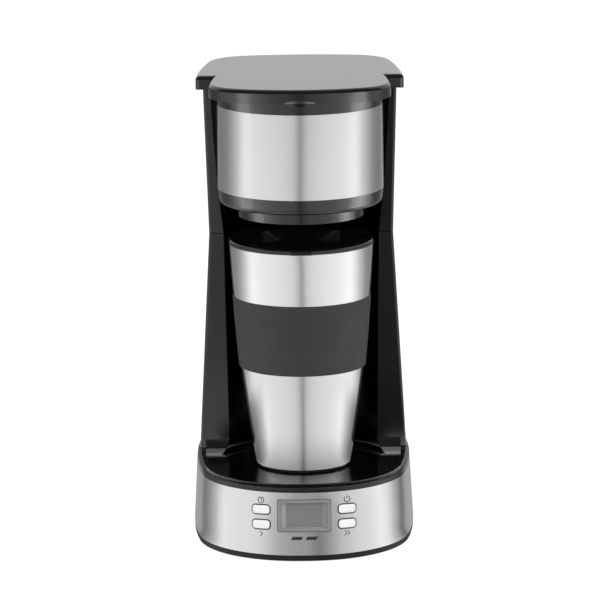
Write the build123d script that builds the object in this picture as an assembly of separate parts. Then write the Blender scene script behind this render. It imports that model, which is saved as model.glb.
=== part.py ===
from build123d import *
import math
import os

# Drip coffee maker for one travel mug.
# Millimetres, +Z up. Depths run from the brew axis (the axis of drum and mug) towards the back.
# Pieces are drawn about the brew axis and moved to the footprint's centre when they are written.

# Base, seen from above
BASE_WIDTH = 131.0
BASE_FRONT = 64.0
BASE_BACK = 92.0
BASE_WIDEST = 34.0
BASE_SIDE_R = 300.0
BASE_FRONT_R = 110.0
BASE_BACK_R = 150.0
BASE_NOSE = 5.5
BASE_BACK_CORNER = 26.0
BASE_DRAFT = 2.0

# Heights of the base, from the floor up
FOOT_RISE = 0.25
COVER_THICK = 3.45
BAND_HEIGHT = 36.9
DECK_THICK = 3.2
RIM_RISE = 1.5
RIM_WIDTH = 5.0
RIM_ROUND = 2.6

# Base walls
BAND_SHEET = 0.8
BAND_WRAP = 60.0
SHELL_WALL = 2.2
COVER_INSET = 0.2
COVER_EDGE = 0.3
BOSS_R = 4.6
BOSS_FRONT = -6.0
BOSS_BACK = 64.0
BOSS_FROM_WALL = 3.2
SCREW_R = 1.5
SCREW_HEAD_R = 3.0
SCREW_HEAD = 1.3
SCREW_LENGTH = 16.0
FOOT_R = 7.5
FOOT_SEAT = 1.0
FOOT_FROM_SIDE = 27.5
FOOT_FRONT = -38.0
FOOT_BACK = 70.0
VENT_COUNT = 6
VENT_PITCH = 8.0
VENT_LENGTH = 26.0
VENT_WIDTH = 3.0
VENT_FROM_SIDE = 31.5

# Column: the set of its sides, wing front, back and widest depth at its foot, its seam and its top
COLUMN_WALL = 2.4
COLUMN_SIDE_R = 400.0
COLUMN_BACK_R = 180.0
COLUMN_CORNER = 24.0
WING_EDGE = 1.6
FOOT_SETBACK = 1.75
FOOT_WING = 30.0
FOOT_REAR = 88.0
FOOT_WIDEST = 34.0
SEAM_LEAN = 6.85
SEAM_WING = 27.0
SEAM_REAR = 84.5
SEAM_WIDEST = 10.0
TOP_FLARE = 2.4
TOP_WING = 9.0
TOP_REAR = 82.5
TOP_WIDEST = -10.0
LOWER_HEIGHT = 133.3
UPPER_HEIGHT = 93.5
SEAM_GAP = 0.4
BAY_R = 53.0
TOE_R = 10.0

# Brew drum, from its top ring down
DRUM_R = 48.6
DRUM_TOP_RING = 6.6
DRUM_BAND = 50.0
DRUM_LOWER_RING = 9.0
DRUM_TAPER = 1.0
DRUM_ROUND = 3.5
DRUM_WALL = 2.0
DRUM_FLOOR = 2.4
DRUM_HOLE_R = 37.8
DRUM_BAND_END = 30.0

# Filter basket and permanent filter
BASKET_WALL = 1.8
BASKET_DEPTH = 51.0
COLLAR_DROP = 7.0
DRIP_HOLE_R = 3.2
FILTER_RIM = 1.8
FILTER_RIM_WIDTH = 4.6
FILTER_DEPTH = 44.0
FILTER_FLOOR_R = 23.0
FILTER_RIBS = 8
RIB_WIDTH = 2.0
RIB_DEPTH = 1.6
MESH_SHEET = 0.5
GRIP_WIDTH = 7.0

# Lid
LID_HEIGHT = 8.0
LID_PLATE = 2.5
LID_SKIRT = 2.5
LID_ROUND = 2.4
LID_GAP = 0.4
LID_OVERLAP = 4.0
LID_CLEAR = 1.3
LID_FRONT = 52.0
LID_FRONT_R = 110.0
LID_FRONT_CORNER = 24.0
LID_FRONT_HALF = 52.7
LID_FRONT_WIDEST = -27.0
LID_FRONT_SIDE_R = 218.0
LID_EAR_FRONT = 4.0
LID_EAR_ROUND = 2.0
LID_BACK_CORNER = 26.0
SCOOP_LENGTH = 18.0
SCOOP_HEIGHT = 3.8
PANEL_PLATE = 2.0
PANEL_DROP = 2.3
PANEL_MARGIN = 2.6
PANEL_RIB_R = 36.0
PANEL_POST_R = 2.6
PANEL_POST_RING = 28.0
LID_RIB = 1.6

# Lid hinge at the back
HINGE_BACK = 88.3
HINGE_DROP = 7.8
KNUCKLE_R = 3.2
KNUCKLE_WIDTH = 8.0
KNUCKLE_OUT = 26.0
CHEEK_WIDTH = 3.2
CHEEK_GAP = 0.3
CHEEK_DROP = 9.0
PIN_R = 1.5
PIN_CLEAR = 0.05
PIN_SEAT = 0.02

# Water path
TANK_BOTTOM = 112.0
TANK_FRONT = 38.0
TANK_WALL = 2.0
TANK_FLOOR = 2.0
TANK_RIM = 1.1
TANK_RIM_LAP = 1.4
TANK_EASE = 0.6
HOT_BACK = 66.0
COLD_FROM_SIDE = 17.3
COLD_BACK = 60.0
TUBE_R = 4.5
TUBE_WALL = 1.3
HOSE_WALL = 1.6
HOSE_BEND = 14.0
NIPPLE = 12.0
VALVE_R = 7.5
VALVE_LENGTH = 18.0
SPOUT_R = 4.0
SPOUT_BELOW_LID = 4.5
SPOUT_REACH = 34.0
SPOUT_SOCKET = 14.0
SPOUT_WALL = 1.4
NOTCH_WIDTH = 13.0
NOTCH_DROP = 2.0

# Boiler in the base
BOILER_BACK = 40.0
BOILER_Z = 24.4
BOILER_R = 6.0
BOILER_BORE_R = 3.4
HEATER_DROP = 10.0
HEATER_SEAT_R = 5.0
HEATER_R = 3.3
HEATER_TAIL = 9.0
WEB_WIDTH = 5.0
STRAP_WIDTH = 15.0
STRAP_SHEET = 1.2
STRAP_BACK = 16.0
STRAP_LAP = 4.0
THERMOSTAT_R = 7.5
THERMOSTAT_HEIGHT = 5.0
FUSE_R = 2.0
FUSE_LENGTH = 13.0
CRADLE_WIDTH = 9.0

# Control panel on the base's front
DISPLAY_Z = 27.1
DISPLAY_WIDTH = 31.0
DISPLAY_HEIGHT = 18.6
DISPLAY_CORNER = 0.9
DISPLAY_GAP = 0.25
BEZEL_WIDTH = 1.9
WINDOW_CORNER = 0.6
BEZEL_DEPTH = 4.2
WINDOW_SINK = 1.5
WINDOW_SHEET = 1.5
BUTTON_WIDTH = 9.8
BUTTON_HEIGHT = 4.9
BUTTON_CORNER = 1.7
BUTTON_ASIDE = 25.0
BUTTON_ROWS = (3.3, -5.5)
BUTTON_GAP = 0.45
BUTTON_PROUD = 1.1
BUTTON_ROUND = 0.6
BUTTON_LIP = 1.2
BUTTON_TRAVEL = 0.8
BUTTON_STEM_R = 1.5
LAMP_WIDTH = 5.9
LAMP_HEIGHT = 1.7
LAMP_SLANT = 1.0
LAMP_ASIDE = 4.3
LAMP_DROP = -13.3
LAMP_R = 1.4
LAMP_LIP = 0.3
BOARD_DEPTH = 17.5
BOARD_WIDTH = 62.0
BOARD_HEIGHT = 28.0
BOARD_DROP = -4.0
BOARD_SHEET = 1.6
SWITCH_SIDE = 6.0
SWITCH_BODY = 3.5
SWITCH_PLUNGER = 0.9
SWITCH_PLUNGER_R = 1.7
RAIL_WIDTH = 5.0
RAIL_DEPTH = 6.0
RAIL_GRIP = 1.5
RAIL_HEIGHT = 22.0

# Power board and cord entry
POWER_FROM_SIDE = 31.5
POWER_BACK = 28.0
POWER_WIDTH = 38.0
POWER_DEPTH = 56.0
POWER_RISE = 7.0
RELAY = (15.0, 19.0, 15.0)
RELAY_AT = (-9.0, -15.0)
COIL = (20.0, 22.0, 17.0)
COIL_AT = (7.0, 12.0)
CAPACITOR_R = 5.0
CAPACITOR_HEIGHT = 14.0
CAPACITOR_AT = (-12.0, 10.0)
GLAND_ASIDE = 30.0
GLAND_Z = 17.0
GLAND_R = 6.5
GLAND_FLANGE = 2.2
GLAND_PROUD = 1.2
GLAND_INSIDE = 8.0
CORD_R = 3.4

# Travel mug
MUG_BOTTOM_R = 27.6
MUG_RIM_R = 42.3
MUG_HEIGHT = 133.2
MUG_SIDE_R = 1087.0
MUG_SHEET = 0.8
MUG_FOOT = 1.2
MUG_FOOT_INSET = 1.6
LINER_GAP = 2.0
LINER_WALL = 1.6
LINER_FLOOR = 4.0
LIP_HEIGHT = 1.2
LIP_PROUD = 0.2
SLEEVE_LOW = 60.2
SLEEVE_HIGH = 102.2
SLEEVE_FOOT = 1.1
SLEEVE_TOP = 0.4
MUG_LID_FLANGE = 1.3
MUG_LID_PLUG = 8.0
MUG_LID_WALL = 1.8
DISH_R = 33.0
DISH_SLOPE = 1.6
SEAL_HEIGHT = 2.4
SEAL_DEPTH = 1.0
SEAL_UP = 2.4
TAB_WIDTH = 13.0
TAB_OUT = 1.8
TAB_DROP = 1.0
SIP_WIDTH = 9.0
SIP_LENGTH = 4.0
SIP_FRONT = -25.0
SLIDER_WIDTH = 13.0
SLIDER_SHEET = 2.2
SLIDER_RIDGE = 1.6
SLIDER_TRAVEL = 12.0
SLIDER_STEM = 3.0
SLIDER_CATCH = 6.0
CATCH_SHEET = 1.0

# Clearances
FIT = 0.3
SNUG = 0.1
PAST = 1.0

# Heights and places that follow
AXIS_Y = (BASE_FRONT - BASE_BACK) / 2
BASE_FRONT_CORNER = BASE_WIDTH / 2 - BASE_NOSE
FOOT_ASIDE = BASE_WIDTH / 2 - FOOT_FROM_SIDE
VENT_ASIDE = BASE_WIDTH / 2 - VENT_FROM_SIDE
POWER_ASIDE = BASE_WIDTH / 2 - POWER_FROM_SIDE
FOOT_HALF = BASE_WIDTH / 2 - BASE_DRAFT - FOOT_SETBACK
SEAM_HALF = FOOT_HALF - SEAM_LEAN
TOP_HALF = SEAM_HALF + TOP_FLARE
AT_FOOT = (FOOT_HALF, FOOT_WING, FOOT_REAR, FOOT_WIDEST)
AT_SEAM = (SEAM_HALF, SEAM_WING, SEAM_REAR, SEAM_WIDEST)
AT_TOP = (TOP_HALF, TOP_WING, TOP_REAR, TOP_WIDEST)
COVER_TOP = FOOT_RISE + COVER_THICK
BAND_TOP = COVER_TOP + BAND_HEIGHT
DECK_Z = BAND_TOP + DECK_THICK
RIM_Z = DECK_Z + RIM_RISE
SEAM_Z = DECK_Z + LOWER_HEIGHT
UPPER_Z = SEAM_Z + SEAM_GAP
TOP_Z = UPPER_Z + UPPER_HEIGHT
LIP_Z = TOP_Z - LID_OVERLAP
LID_TOP = LIP_Z + LID_HEIGHT
DRUM_TOP = LIP_Z - LID_GAP
BAND_HIGH = DRUM_TOP - DRUM_TOP_RING
BAND_LOW = BAND_HIGH - DRUM_BAND
DRUM_Z = BAND_LOW - DRUM_LOWER_RING
SHELL_INSET = BAND_SHEET + SNUG
SHELL_INNER = SHELL_INSET + SHELL_WALL
DRUM_SEAT_R = DRUM_R - BAND_SHEET - SNUG
DRUM_INNER_R = DRUM_SEAT_R - DRUM_WALL
BASKET_R = DRUM_INNER_R - 2 * FIT
BASKET_Z = DRUM_Z + DRUM_FLOOR
BASKET_TOP = BASKET_Z + BASKET_DEPTH
COLLAR_R = DRUM_HOLE_R - 2 * FIT
HINGE_Z = TOP_Z - HINGE_DROP
TANK_R = BAY_R + COLUMN_WALL + FIT
TANK_HALF = TOP_HALF - COLUMN_WALL - FIT - TANK_EASE
TANK_CORNER = COLUMN_CORNER - COLUMN_WALL - FIT
COLD_ASIDE = COLD_FROM_SIDE - TOP_HALF
BOILER_BEND = -COLD_ASIDE / 2
SPOUT_Z = LIP_Z - SPOUT_BELOW_LID
NOTCH_Z = SPOUT_Z - SPOUT_R - NOTCH_DROP
HOSE_R = TUBE_R + HOSE_WALL
HEATER_Z = BOILER_Z - HEATER_DROP
STRAP_Z = BOILER_Z + BOILER_R + FIT
PANEL_TILT = math.atan2(BASE_DRAFT, BAND_HEIGHT)
WINDOW_WIDTH = DISPLAY_WIDTH - 2 * BEZEL_WIDTH
WINDOW_HEIGHT = DISPLAY_HEIGHT - 2 * BEZEL_WIDTH
LIP_INNER = SHELL_INNER + FIT
BUTTON_STEM_END = BUTTON_TRAVEL + SNUG - BOARD_DEPTH + SWITCH_BODY + SWITCH_PLUNGER
POWER_Z = COVER_TOP + POWER_RISE
MUG_Z = DECK_Z + MUG_FOOT
MUG_TOP = DECK_Z + MUG_HEIGHT
LINER_Z = MUG_Z + MUG_SHEET + LINER_GAP
LID_SEAT = MUG_TOP + LIP_HEIGHT
DISH_FLOOR = LID_SEAT - MUG_LID_PLUG + MUG_LID_WALL


def disc(radius, x=0.0, y=0.0):
    return Pos(x, y) * Circle(radius)


def prism(sketch, low, high):
    return Pos(0, 0, low) * extrude(sketch, high - low, dir=(0, 0, 1))


def rod(radius, low, high, x=0.0, y=0.0):
    return prism(disc(radius, x, y), low, high)


def ring(outer, inner, low, high):
    return rod(outer, low, high) - rod(inner, low - PAST, high + PAST)


def rod_along_y(radius, x, z, front, back):
    return Pos(x, front, z) * Rot(-90, 0, 0) * rod(radius, 0, back - front)


def rod_along_x(radius, y, z, left, right):
    return Pos(left, y, z) * Rot(0, 90, 0) * rod(radius, 0, right - left)


def behind(depth):
    span = 2 * (BASE_FRONT + BASE_BACK)
    return Pos(0, depth + span / 2) * Rectangle(2 * span, span)


def turned(*edges):
    return revolve(Plane.XZ * make_face(Curve() + list(edges)), Axis.Z)


# Base
def draft_at(z):
    return BASE_DRAFT * (z - COVER_TOP) / BAND_HEIGHT


def base_outline(inset):
    side = BASE_SIDE_R - BASE_WIDTH / 2
    outline = disc(BASE_FRONT_R - inset, y=BASE_FRONT_R - BASE_FRONT)
    outline &= disc(BASE_BACK_R - inset, y=BASE_BACK - BASE_BACK_R)
    outline &= disc(BASE_SIDE_R - inset, x=side, y=BASE_WIDEST)
    outline &= disc(BASE_SIDE_R - inset, x=-side, y=BASE_WIDEST)
    outline = fillet(outline.vertices().group_by(Axis.Y)[0], BASE_FRONT_CORNER - inset)
    return fillet(outline.vertices().group_by(Axis.Y)[-1], BASE_BACK_CORNER - inset)


def base_body(low, high, inset):
    ends = [Pos(0, 0, z) * base_outline(inset + draft_at(z)) for z in (low, high)]
    return loft(ends, ruled=True)


def base_layer(outer, inner):
    inside = base_body(COVER_TOP - PAST, BAND_TOP + PAST, inner)
    return base_body(COVER_TOP, BAND_TOP, outer) - inside


def on_panel(sketch, x, up, low, high):
    return PANEL.location * Pos(x, up, low) * extrude(sketch, high - low, dir=(0, 0, 1))


def button_places():
    return [(side * BUTTON_ASIDE, up) for side in (-1, 1) for up in BUTTON_ROWS]


def rounded(width, height, corner, grow=0.0):
    return RectangleRounded(width + 2 * grow, height + 2 * grow, corner + grow)


def lamp_shape(grow=0.0):
    half = LAMP_WIDTH / 2 + grow
    rise = LAMP_HEIGHT / 2 + grow
    lean = LAMP_SLANT / 2
    corners = [(-half - lean, -rise), (half - lean, -rise), (half + lean, rise), (-half + lean, rise)]
    return make_face(Polyline(*corners, close=True))


def panel_cuts():
    deep = 2 * BOARD_DEPTH
    cuts = on_panel(rounded(DISPLAY_WIDTH, DISPLAY_HEIGHT, DISPLAY_CORNER, DISPLAY_GAP), 0, 0, -deep, deep)
    button = rounded(BUTTON_WIDTH, BUTTON_HEIGHT, BUTTON_CORNER, BUTTON_GAP)
    for x, up in button_places():
        cuts += on_panel(button, x, up, -deep, deep)
    for side in (-1, 1):
        cuts += on_panel(lamp_shape(SNUG), side * LAMP_ASIDE, LAMP_DROP, -deep, deep)
    return cuts


def boss_places():
    wall = SHELL_INNER + BASE_DRAFT + BOSS_FROM_WALL
    side = BASE_SIDE_R - BASE_WIDTH / 2
    places = []
    for depth in (BOSS_FRONT, BOSS_BACK):
        half = math.sqrt((BASE_SIDE_R - wall) ** 2 - (depth - BASE_WIDEST) ** 2) - side
        places += [(-half, depth), (half, depth)]
    return places


def base_shell():
    shell = base_layer(SHELL_INSET, SHELL_INNER)
    bare = base_layer(0, SHELL_INNER) & prism(behind(BAND_WRAP + FIT), 0, DECK_Z)
    shell += bare
    for x, y in boss_places():
        shell += rod(BOSS_R, COVER_TOP, BAND_TOP, x, y)
    for x, y in boss_places():
        shell -= rod(SCREW_R, COVER_TOP - PAST, FOOT_RISE + SCREW_LENGTH + PAST, x, y)
    shell -= rod_along_y(GLAND_R + SNUG, GLAND_ASIDE, GLAND_Z, BASE_BACK / 2, BASE_BACK)
    return shell - panel_cuts()


def base_band():
    band = base_layer(0, BAND_SHEET) - prism(behind(BAND_WRAP), 0, DECK_Z)
    return band - panel_cuts()


def base_cover():
    plate = prism(base_outline(COVER_INSET), FOOT_RISE, COVER_TOP)
    plate = chamfer(plate.edges().group_by(Axis.Z)[0], COVER_EDGE)
    for x, y in foot_places():
        plate -= rod(FOOT_R + SNUG, 0, FOOT_RISE + FOOT_SEAT, x, y)
    for x, y in boss_places():
        plate -= rod(SCREW_HEAD_R + SNUG, 0, FOOT_RISE + SCREW_HEAD, x, y)
        plate -= rod(SCREW_R + SNUG, 0, COVER_TOP + PAST, x, y)
    for side in (-1, 1):
        for step in range(VENT_COUNT):
            depth = BOSS_FRONT + 2 * BOSS_R + step * VENT_PITCH
            slot = Pos(side * VENT_ASIDE, depth) * SlotOverall(VENT_LENGTH, VENT_WIDTH)
            plate -= prism(slot, 0, COVER_TOP + PAST)
    for x, y in cradle_places():
        seat = Pos(x, y) * Rectangle(CRADLE_WIDTH, CRADLE_WIDTH)
        plate += prism(seat, FOOT_RISE + COVER_THICK / 2, HEATER_Z - HEATER_SEAT_R)
    for x, y in power_posts():
        plate += rod(BOSS_R / 2, COVER_TOP - PAST, POWER_Z, x, y)
    for side in (-1, 1):
        x = side * (BOARD_WIDTH / 2 + RAIL_WIDTH / 2 - RAIL_GRIP)
        y = PANEL.origin.Y + BOARD_DEPTH + BOARD_SHEET / 2
        rail = Pos(x, y) * Rectangle(RAIL_WIDTH, RAIL_DEPTH)
        plate += prism(rail, COVER_TOP - PAST, COVER_TOP + RAIL_HEIGHT)
    slot = rounded(BOARD_WIDTH, BOARD_HEIGHT, SNUG, SNUG)
    return plate - on_panel(slot, 0, BOARD_DROP, -BOARD_DEPTH - BOARD_SHEET - SNUG, -BOARD_DEPTH + SNUG)


def foot_places():
    return [(side * FOOT_ASIDE, y) for side in (-1, 1) for y in (FOOT_FRONT, FOOT_BACK)]


def base_feet():
    return Part() + [rod(FOOT_R, 0, FOOT_RISE + FOOT_SEAT, x, y) for x, y in foot_places()]


def cover_screws():
    screws = []
    for x, y in boss_places():
        shank = rod(SCREW_R, FOOT_RISE, FOOT_RISE + SCREW_LENGTH, x, y)
        screws.append(shank + rod(SCREW_HEAD_R, FOOT_RISE, FOOT_RISE + SCREW_HEAD, x, y))
    return Part() + screws


def base_deck():
    deck = base_body(BAND_TOP, RIM_Z, 0)
    deck = fillet(deck.edges().group_by(Axis.Z)[-1], RIM_ROUND)
    pocket = prism(base_outline(BASE_DRAFT + RIM_WIDTH), DECK_Z, RIM_Z + PAST)
    deck -= pocket + prism(behind(FOOT_WING - FIT), DECK_Z, RIM_Z + PAST)
    for x, y in ((0, HOT_BACK), (COLD_ASIDE, COLD_BACK)):
        deck -= rod(HOSE_R + FIT, 0, RIM_Z, x, y)
    return deck


# Column
def column_face(half, front, rear, widest, inset, corner=COLUMN_CORNER):
    side = COLUMN_SIDE_R - half
    outline = disc(COLUMN_BACK_R - inset, y=rear - COLUMN_BACK_R)
    outline &= disc(COLUMN_SIDE_R - inset, x=side, y=widest)
    outline &= disc(COLUMN_SIDE_R - inset, x=-side, y=widest)
    outline &= behind(front + inset)
    return fillet(outline.vertices().group_by(Axis.Y)[-1], corner - inset)


def blend(low, high, share):
    return [start + (end - start) * share for start, end in zip(low, high)]


def lower_at(z):
    return blend(AT_FOOT, AT_SEAM, (z - DECK_Z) / LOWER_HEIGHT)


def upper_at(z):
    return blend(AT_SEAM, AT_TOP, (z - SEAM_Z) / (TOP_Z - SEAM_Z))


def column_body(sizes_at, low, high, inset):
    ends = []
    for z in (low, high):
        face = column_face(*sizes_at(z), inset)
        if inset == 0:
            face = fillet(face.vertices().group_by(Axis.Y)[0], WING_EDGE)
        ends.append(Pos(0, 0, z) * face)
    return loft(ends, ruled=True)


def column_hollow(sizes_at, low, high):
    hollow = column_body(sizes_at, low - PAST, high + PAST, COLUMN_WALL)
    return hollow - rod(BAY_R + COLUMN_WALL, low - 2 * PAST, high + 2 * PAST)


def wing_toes():
    start, top = FOOT_WING - TOE_R, DECK_Z + TOE_R
    bend = TOE_R * math.sqrt(0.5)
    arc = ThreePointArc((start, DECK_Z), (start + bend, top - bend), (FOOT_WING, top))
    back = FOOT_WING + TOE_R
    sides = Polyline((FOOT_WING, top), (back, top), (back, DECK_Z), (start, DECK_Z))
    toe = extrude(Plane.YZ * make_face(Curve() + [arc, sides]), BASE_WIDTH / 2, both=True)
    room = prism(base_outline(BASE_DRAFT + RIM_WIDTH + FIT), DECK_Z, top + PAST)
    return toe & room


def lower_housing():
    body = column_body(lower_at, DECK_Z, SEAM_Z, 0) + wing_toes()
    body -= rod(BAY_R, DECK_Z - PAST, SEAM_Z + PAST)
    return body - column_hollow(lower_at, DECK_Z, SEAM_Z)


def hinge_cheek(left):
    right = left + CHEEK_WIDTH
    barrel = rod_along_x(KNUCKLE_R, HINGE_BACK, HINGE_Z, left, right)
    wall = TOP_REAR - COLUMN_WALL - 2 * KNUCKLE_R
    corners = [(wall, HINGE_Z - CHEEK_DROP), (wall, HINGE_Z + KNUCKLE_R), (HINGE_BACK, HINGE_Z + KNUCKLE_R)]
    web = make_face(Polyline(*corners, (HINGE_BACK, HINGE_Z - KNUCKLE_R), close=True))
    return barrel + Pos(left, 0, 0) * extrude(Plane.YZ * web, CHEEK_WIDTH, dir=(1, 0, 0))


def cheek_places():
    gap = KNUCKLE_WIDTH / 2 + CHEEK_GAP
    return [side * KNUCKLE_OUT + near for side in (-1, 1) for near in (gap, -gap - CHEEK_WIDTH)]


def spout_notch():
    slot = Pos(0, (HOT_BACK + SPOUT_REACH) / 2) * Rectangle(NOTCH_WIDTH, HOT_BACK - SPOUT_REACH)
    return prism(slot, NOTCH_Z, LID_TOP)


def upper_housing():
    body = column_body(upper_at, UPPER_Z, TOP_Z, 0)
    for left in cheek_places():
        body += hinge_cheek(left)
    body -= rod(BAY_R, UPPER_Z - PAST, DRUM_Z)
    body -= rod(DRUM_R + FIT, DRUM_Z - PAST, TOP_Z + PAST)
    body -= column_hollow(upper_at, UPPER_Z, TOP_Z)
    body -= rod_along_x(PIN_R + PIN_SEAT, HINGE_BACK, HINGE_Z, -BASE_WIDTH / 2, BASE_WIDTH / 2)
    return body - spout_notch()


def hinge_pins():
    half = KNUCKLE_WIDTH / 2 + CHEEK_GAP + CHEEK_WIDTH
    pins = []
    for side in (-1, 1):
        middle = side * KNUCKLE_OUT
        pins.append(rod_along_x(PIN_R, HINGE_BACK, HINGE_Z, middle - half, middle + half))
    return Part() + pins


# Brew drum
def finger_scoop(front, z):
    half = Ellipse(SCOOP_LENGTH / 2, SCOOP_HEIGHT / 2)
    half &= Pos(0, SCOOP_HEIGHT) * Rectangle(SCOOP_LENGTH, 2 * SCOOP_HEIGHT)
    return Pos(0, -front, z) * revolve(half, Axis.X)


def brew_drum():
    foot = DRUM_R - DRUM_TAPER
    outer = Polyline(
        (0, DRUM_Z), (foot, DRUM_Z), (DRUM_R, BAND_LOW), (DRUM_SEAT_R, BAND_LOW),
        (DRUM_SEAT_R, BAND_HIGH), (DRUM_R, BAND_HIGH), (DRUM_R, DRUM_TOP), (0, DRUM_TOP), close=True)
    drum = turned(outer)
    drum = fillet(drum.edges().group_by(Axis.Z)[0], DRUM_ROUND)
    drum -= rod(DRUM_INNER_R, BASKET_Z, DRUM_TOP + PAST)
    drum -= rod(DRUM_HOLE_R, DRUM_Z - PAST, BASKET_Z + PAST)
    drum -= finger_scoop(DRUM_R, DRUM_TOP)
    return drum - spout_notch()


def drum_band():
    band = ring(DRUM_R, DRUM_R - BAND_SHEET, BAND_LOW + SNUG, BAND_HIGH - SNUG)
    return band - prism(behind(DRUM_BAND_END), BAND_LOW, BAND_HIGH)


def filter_basket():
    cup = rod(BASKET_R, BASKET_Z, BASKET_TOP)
    cup -= rod(BASKET_R - BASKET_WALL, BASKET_Z + BASKET_WALL, BASKET_TOP + PAST)
    cup += ring(COLLAR_R, COLLAR_R - BASKET_WALL, DRUM_Z - COLLAR_DROP, BASKET_Z + BASKET_WALL)
    cup += rod(2 * DRIP_HOLE_R, DRUM_Z - COLLAR_DROP / 2, BASKET_Z + BASKET_WALL)
    return cup - rod(DRIP_HOLE_R, DRUM_Z - COLLAR_DROP, BASKET_Z + BASKET_WALL + PAST)


def filter_frame():
    inner = BASKET_R - FILTER_RIM_WIDTH
    frame = ring(BASKET_R, inner, BASKET_TOP, BASKET_TOP + FILTER_RIM)
    floor = BASKET_TOP - FILTER_DEPTH
    low = floor - FILTER_RIM
    frame += ring(FILTER_FLOOR_R + 2 * RIB_DEPTH, FILTER_FLOOR_R - 2 * RIB_DEPTH, low, floor)
    start = low + FILTER_RIM / 2
    end = BASKET_TOP + FILTER_RIM / 2
    near = inner + SNUG
    foot = FILTER_FLOOR_R + SNUG
    corners = [
        (foot, start), (FILTER_FLOOR_R + RIB_DEPTH, start), (inner + RIB_DEPTH, BASKET_TOP),
        (inner + RIB_DEPTH, end), (near, end), (near, BASKET_TOP), (foot, floor)]
    rib = extrude(Plane.XZ * make_face(Polyline(*corners, close=True)), RIB_WIDTH / 2, both=True)
    for step in range(FILTER_RIBS):
        frame += Rot(0, 0, (step + 0.5) * 360 / FILTER_RIBS) * rib
    grip = Rectangle(2 * inner + FILTER_RIM_WIDTH, GRIP_WIDTH)
    return frame + prism(grip, BASKET_TOP, BASKET_TOP + FILTER_RIM)


def filter_mesh():
    floor = BASKET_TOP - FILTER_DEPTH
    rim = BASKET_R - FILTER_RIM_WIDTH - SNUG
    base = FILTER_FLOOR_R - SNUG
    corners = [
        (0, floor), (base, floor), (rim, BASKET_TOP), (rim - MESH_SHEET, BASKET_TOP),
        (base - MESH_SHEET, floor + MESH_SHEET), (0, floor + MESH_SHEET)]
    return turned(Polyline(*corners, close=True))


# Lid
def lid_front_face(inset):
    side = LID_FRONT_SIDE_R - LID_FRONT_HALF
    face = disc(LID_FRONT_R - inset, y=LID_FRONT_R - LID_FRONT)
    face &= disc(LID_FRONT_SIDE_R - inset, x=side, y=LID_FRONT_WIDEST)
    face &= disc(LID_FRONT_SIDE_R - inset, x=-side, y=LID_FRONT_WIDEST)
    face -= behind(LID_EAR_FRONT + DRUM_R / 2)
    return fillet(face.vertices().group_by(Axis.Y)[0], LID_FRONT_CORNER - inset)


def lid_rear_face(inset, front):
    grow = LID_CLEAR + LID_SKIRT
    rear = TOP_REAR + grow
    return column_face(TOP_HALF + grow, front - inset, rear, TOP_WIDEST, inset, LID_BACK_CORNER)


def lid_shell():
    ear = lid_rear_face(0, LID_EAR_FRONT)
    ear = fillet(ear.vertices().group_by(Axis.Y)[0], LID_EAR_ROUND)
    shell = prism(lid_front_face(0) + ear, LIP_Z, LID_TOP)
    shell = fillet(shell.edges().group_by(Axis.Z)[-1], LID_ROUND)
    hollow = lid_front_face(LID_SKIRT) + lid_rear_face(LID_SKIRT, LID_EAR_FRONT - PAST)
    shell -= prism(hollow, LIP_Z - PAST, LID_TOP - LID_PLATE)
    shell -= finger_scoop(LID_FRONT, LIP_Z)
    for side in (-1, 1):
        shell += lid_knuckle(side * KNUCKLE_OUT)
        rib = Pos(side * KNUCKLE_OUT, TOP_REAR - LID_BACK_CORNER / 2) * Rectangle(LID_RIB, LID_BACK_CORNER)
        shell += prism(rib, TOP_Z + FIT + TANK_RIM, LID_TOP - LID_PLATE / 2)
    return shell - rod_along_x(PIN_R + PIN_CLEAR, HINGE_BACK, HINGE_Z, -BASE_WIDTH / 2, BASE_WIDTH / 2)


def lid_knuckle(middle):
    left = middle - KNUCKLE_WIDTH / 2
    barrel = rod_along_x(KNUCKLE_R, HINGE_BACK, HINGE_Z, left, left + KNUCKLE_WIDTH)
    near = TOP_REAR + LID_CLEAR - LID_SKIRT / 2
    corners = [
        (near, LIP_Z + LID_SKIRT / 2), (HINGE_BACK - KNUCKLE_R, LIP_Z), (HINGE_BACK - KNUCKLE_R, HINGE_Z),
        (HINGE_BACK + KNUCKLE_R, HINGE_Z), (HINGE_BACK, LID_TOP - LID_ROUND), (near, LID_TOP - LID_ROUND)]
    arm = extrude(Plane.YZ * make_face(Polyline(*corners, close=True)), KNUCKLE_WIDTH, dir=(1, 0, 0))
    return barrel + Pos(left, 0, 0) * arm


def lid_panel():
    top = LID_TOP - LID_PLATE
    low = top - PANEL_DROP - PANEL_PLATE
    radius = DRUM_INNER_R - PANEL_MARGIN
    panel = rod(radius, low, low + PANEL_PLATE)
    panel += ring(PANEL_RIB_R, PANEL_RIB_R - LID_RIB, low - LID_RIB, low + PANEL_PLATE)
    for place in PolarLocations(PANEL_POST_RING, 4, 45):
        panel += place * rod(PANEL_POST_R, low, top)
    return panel


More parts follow.
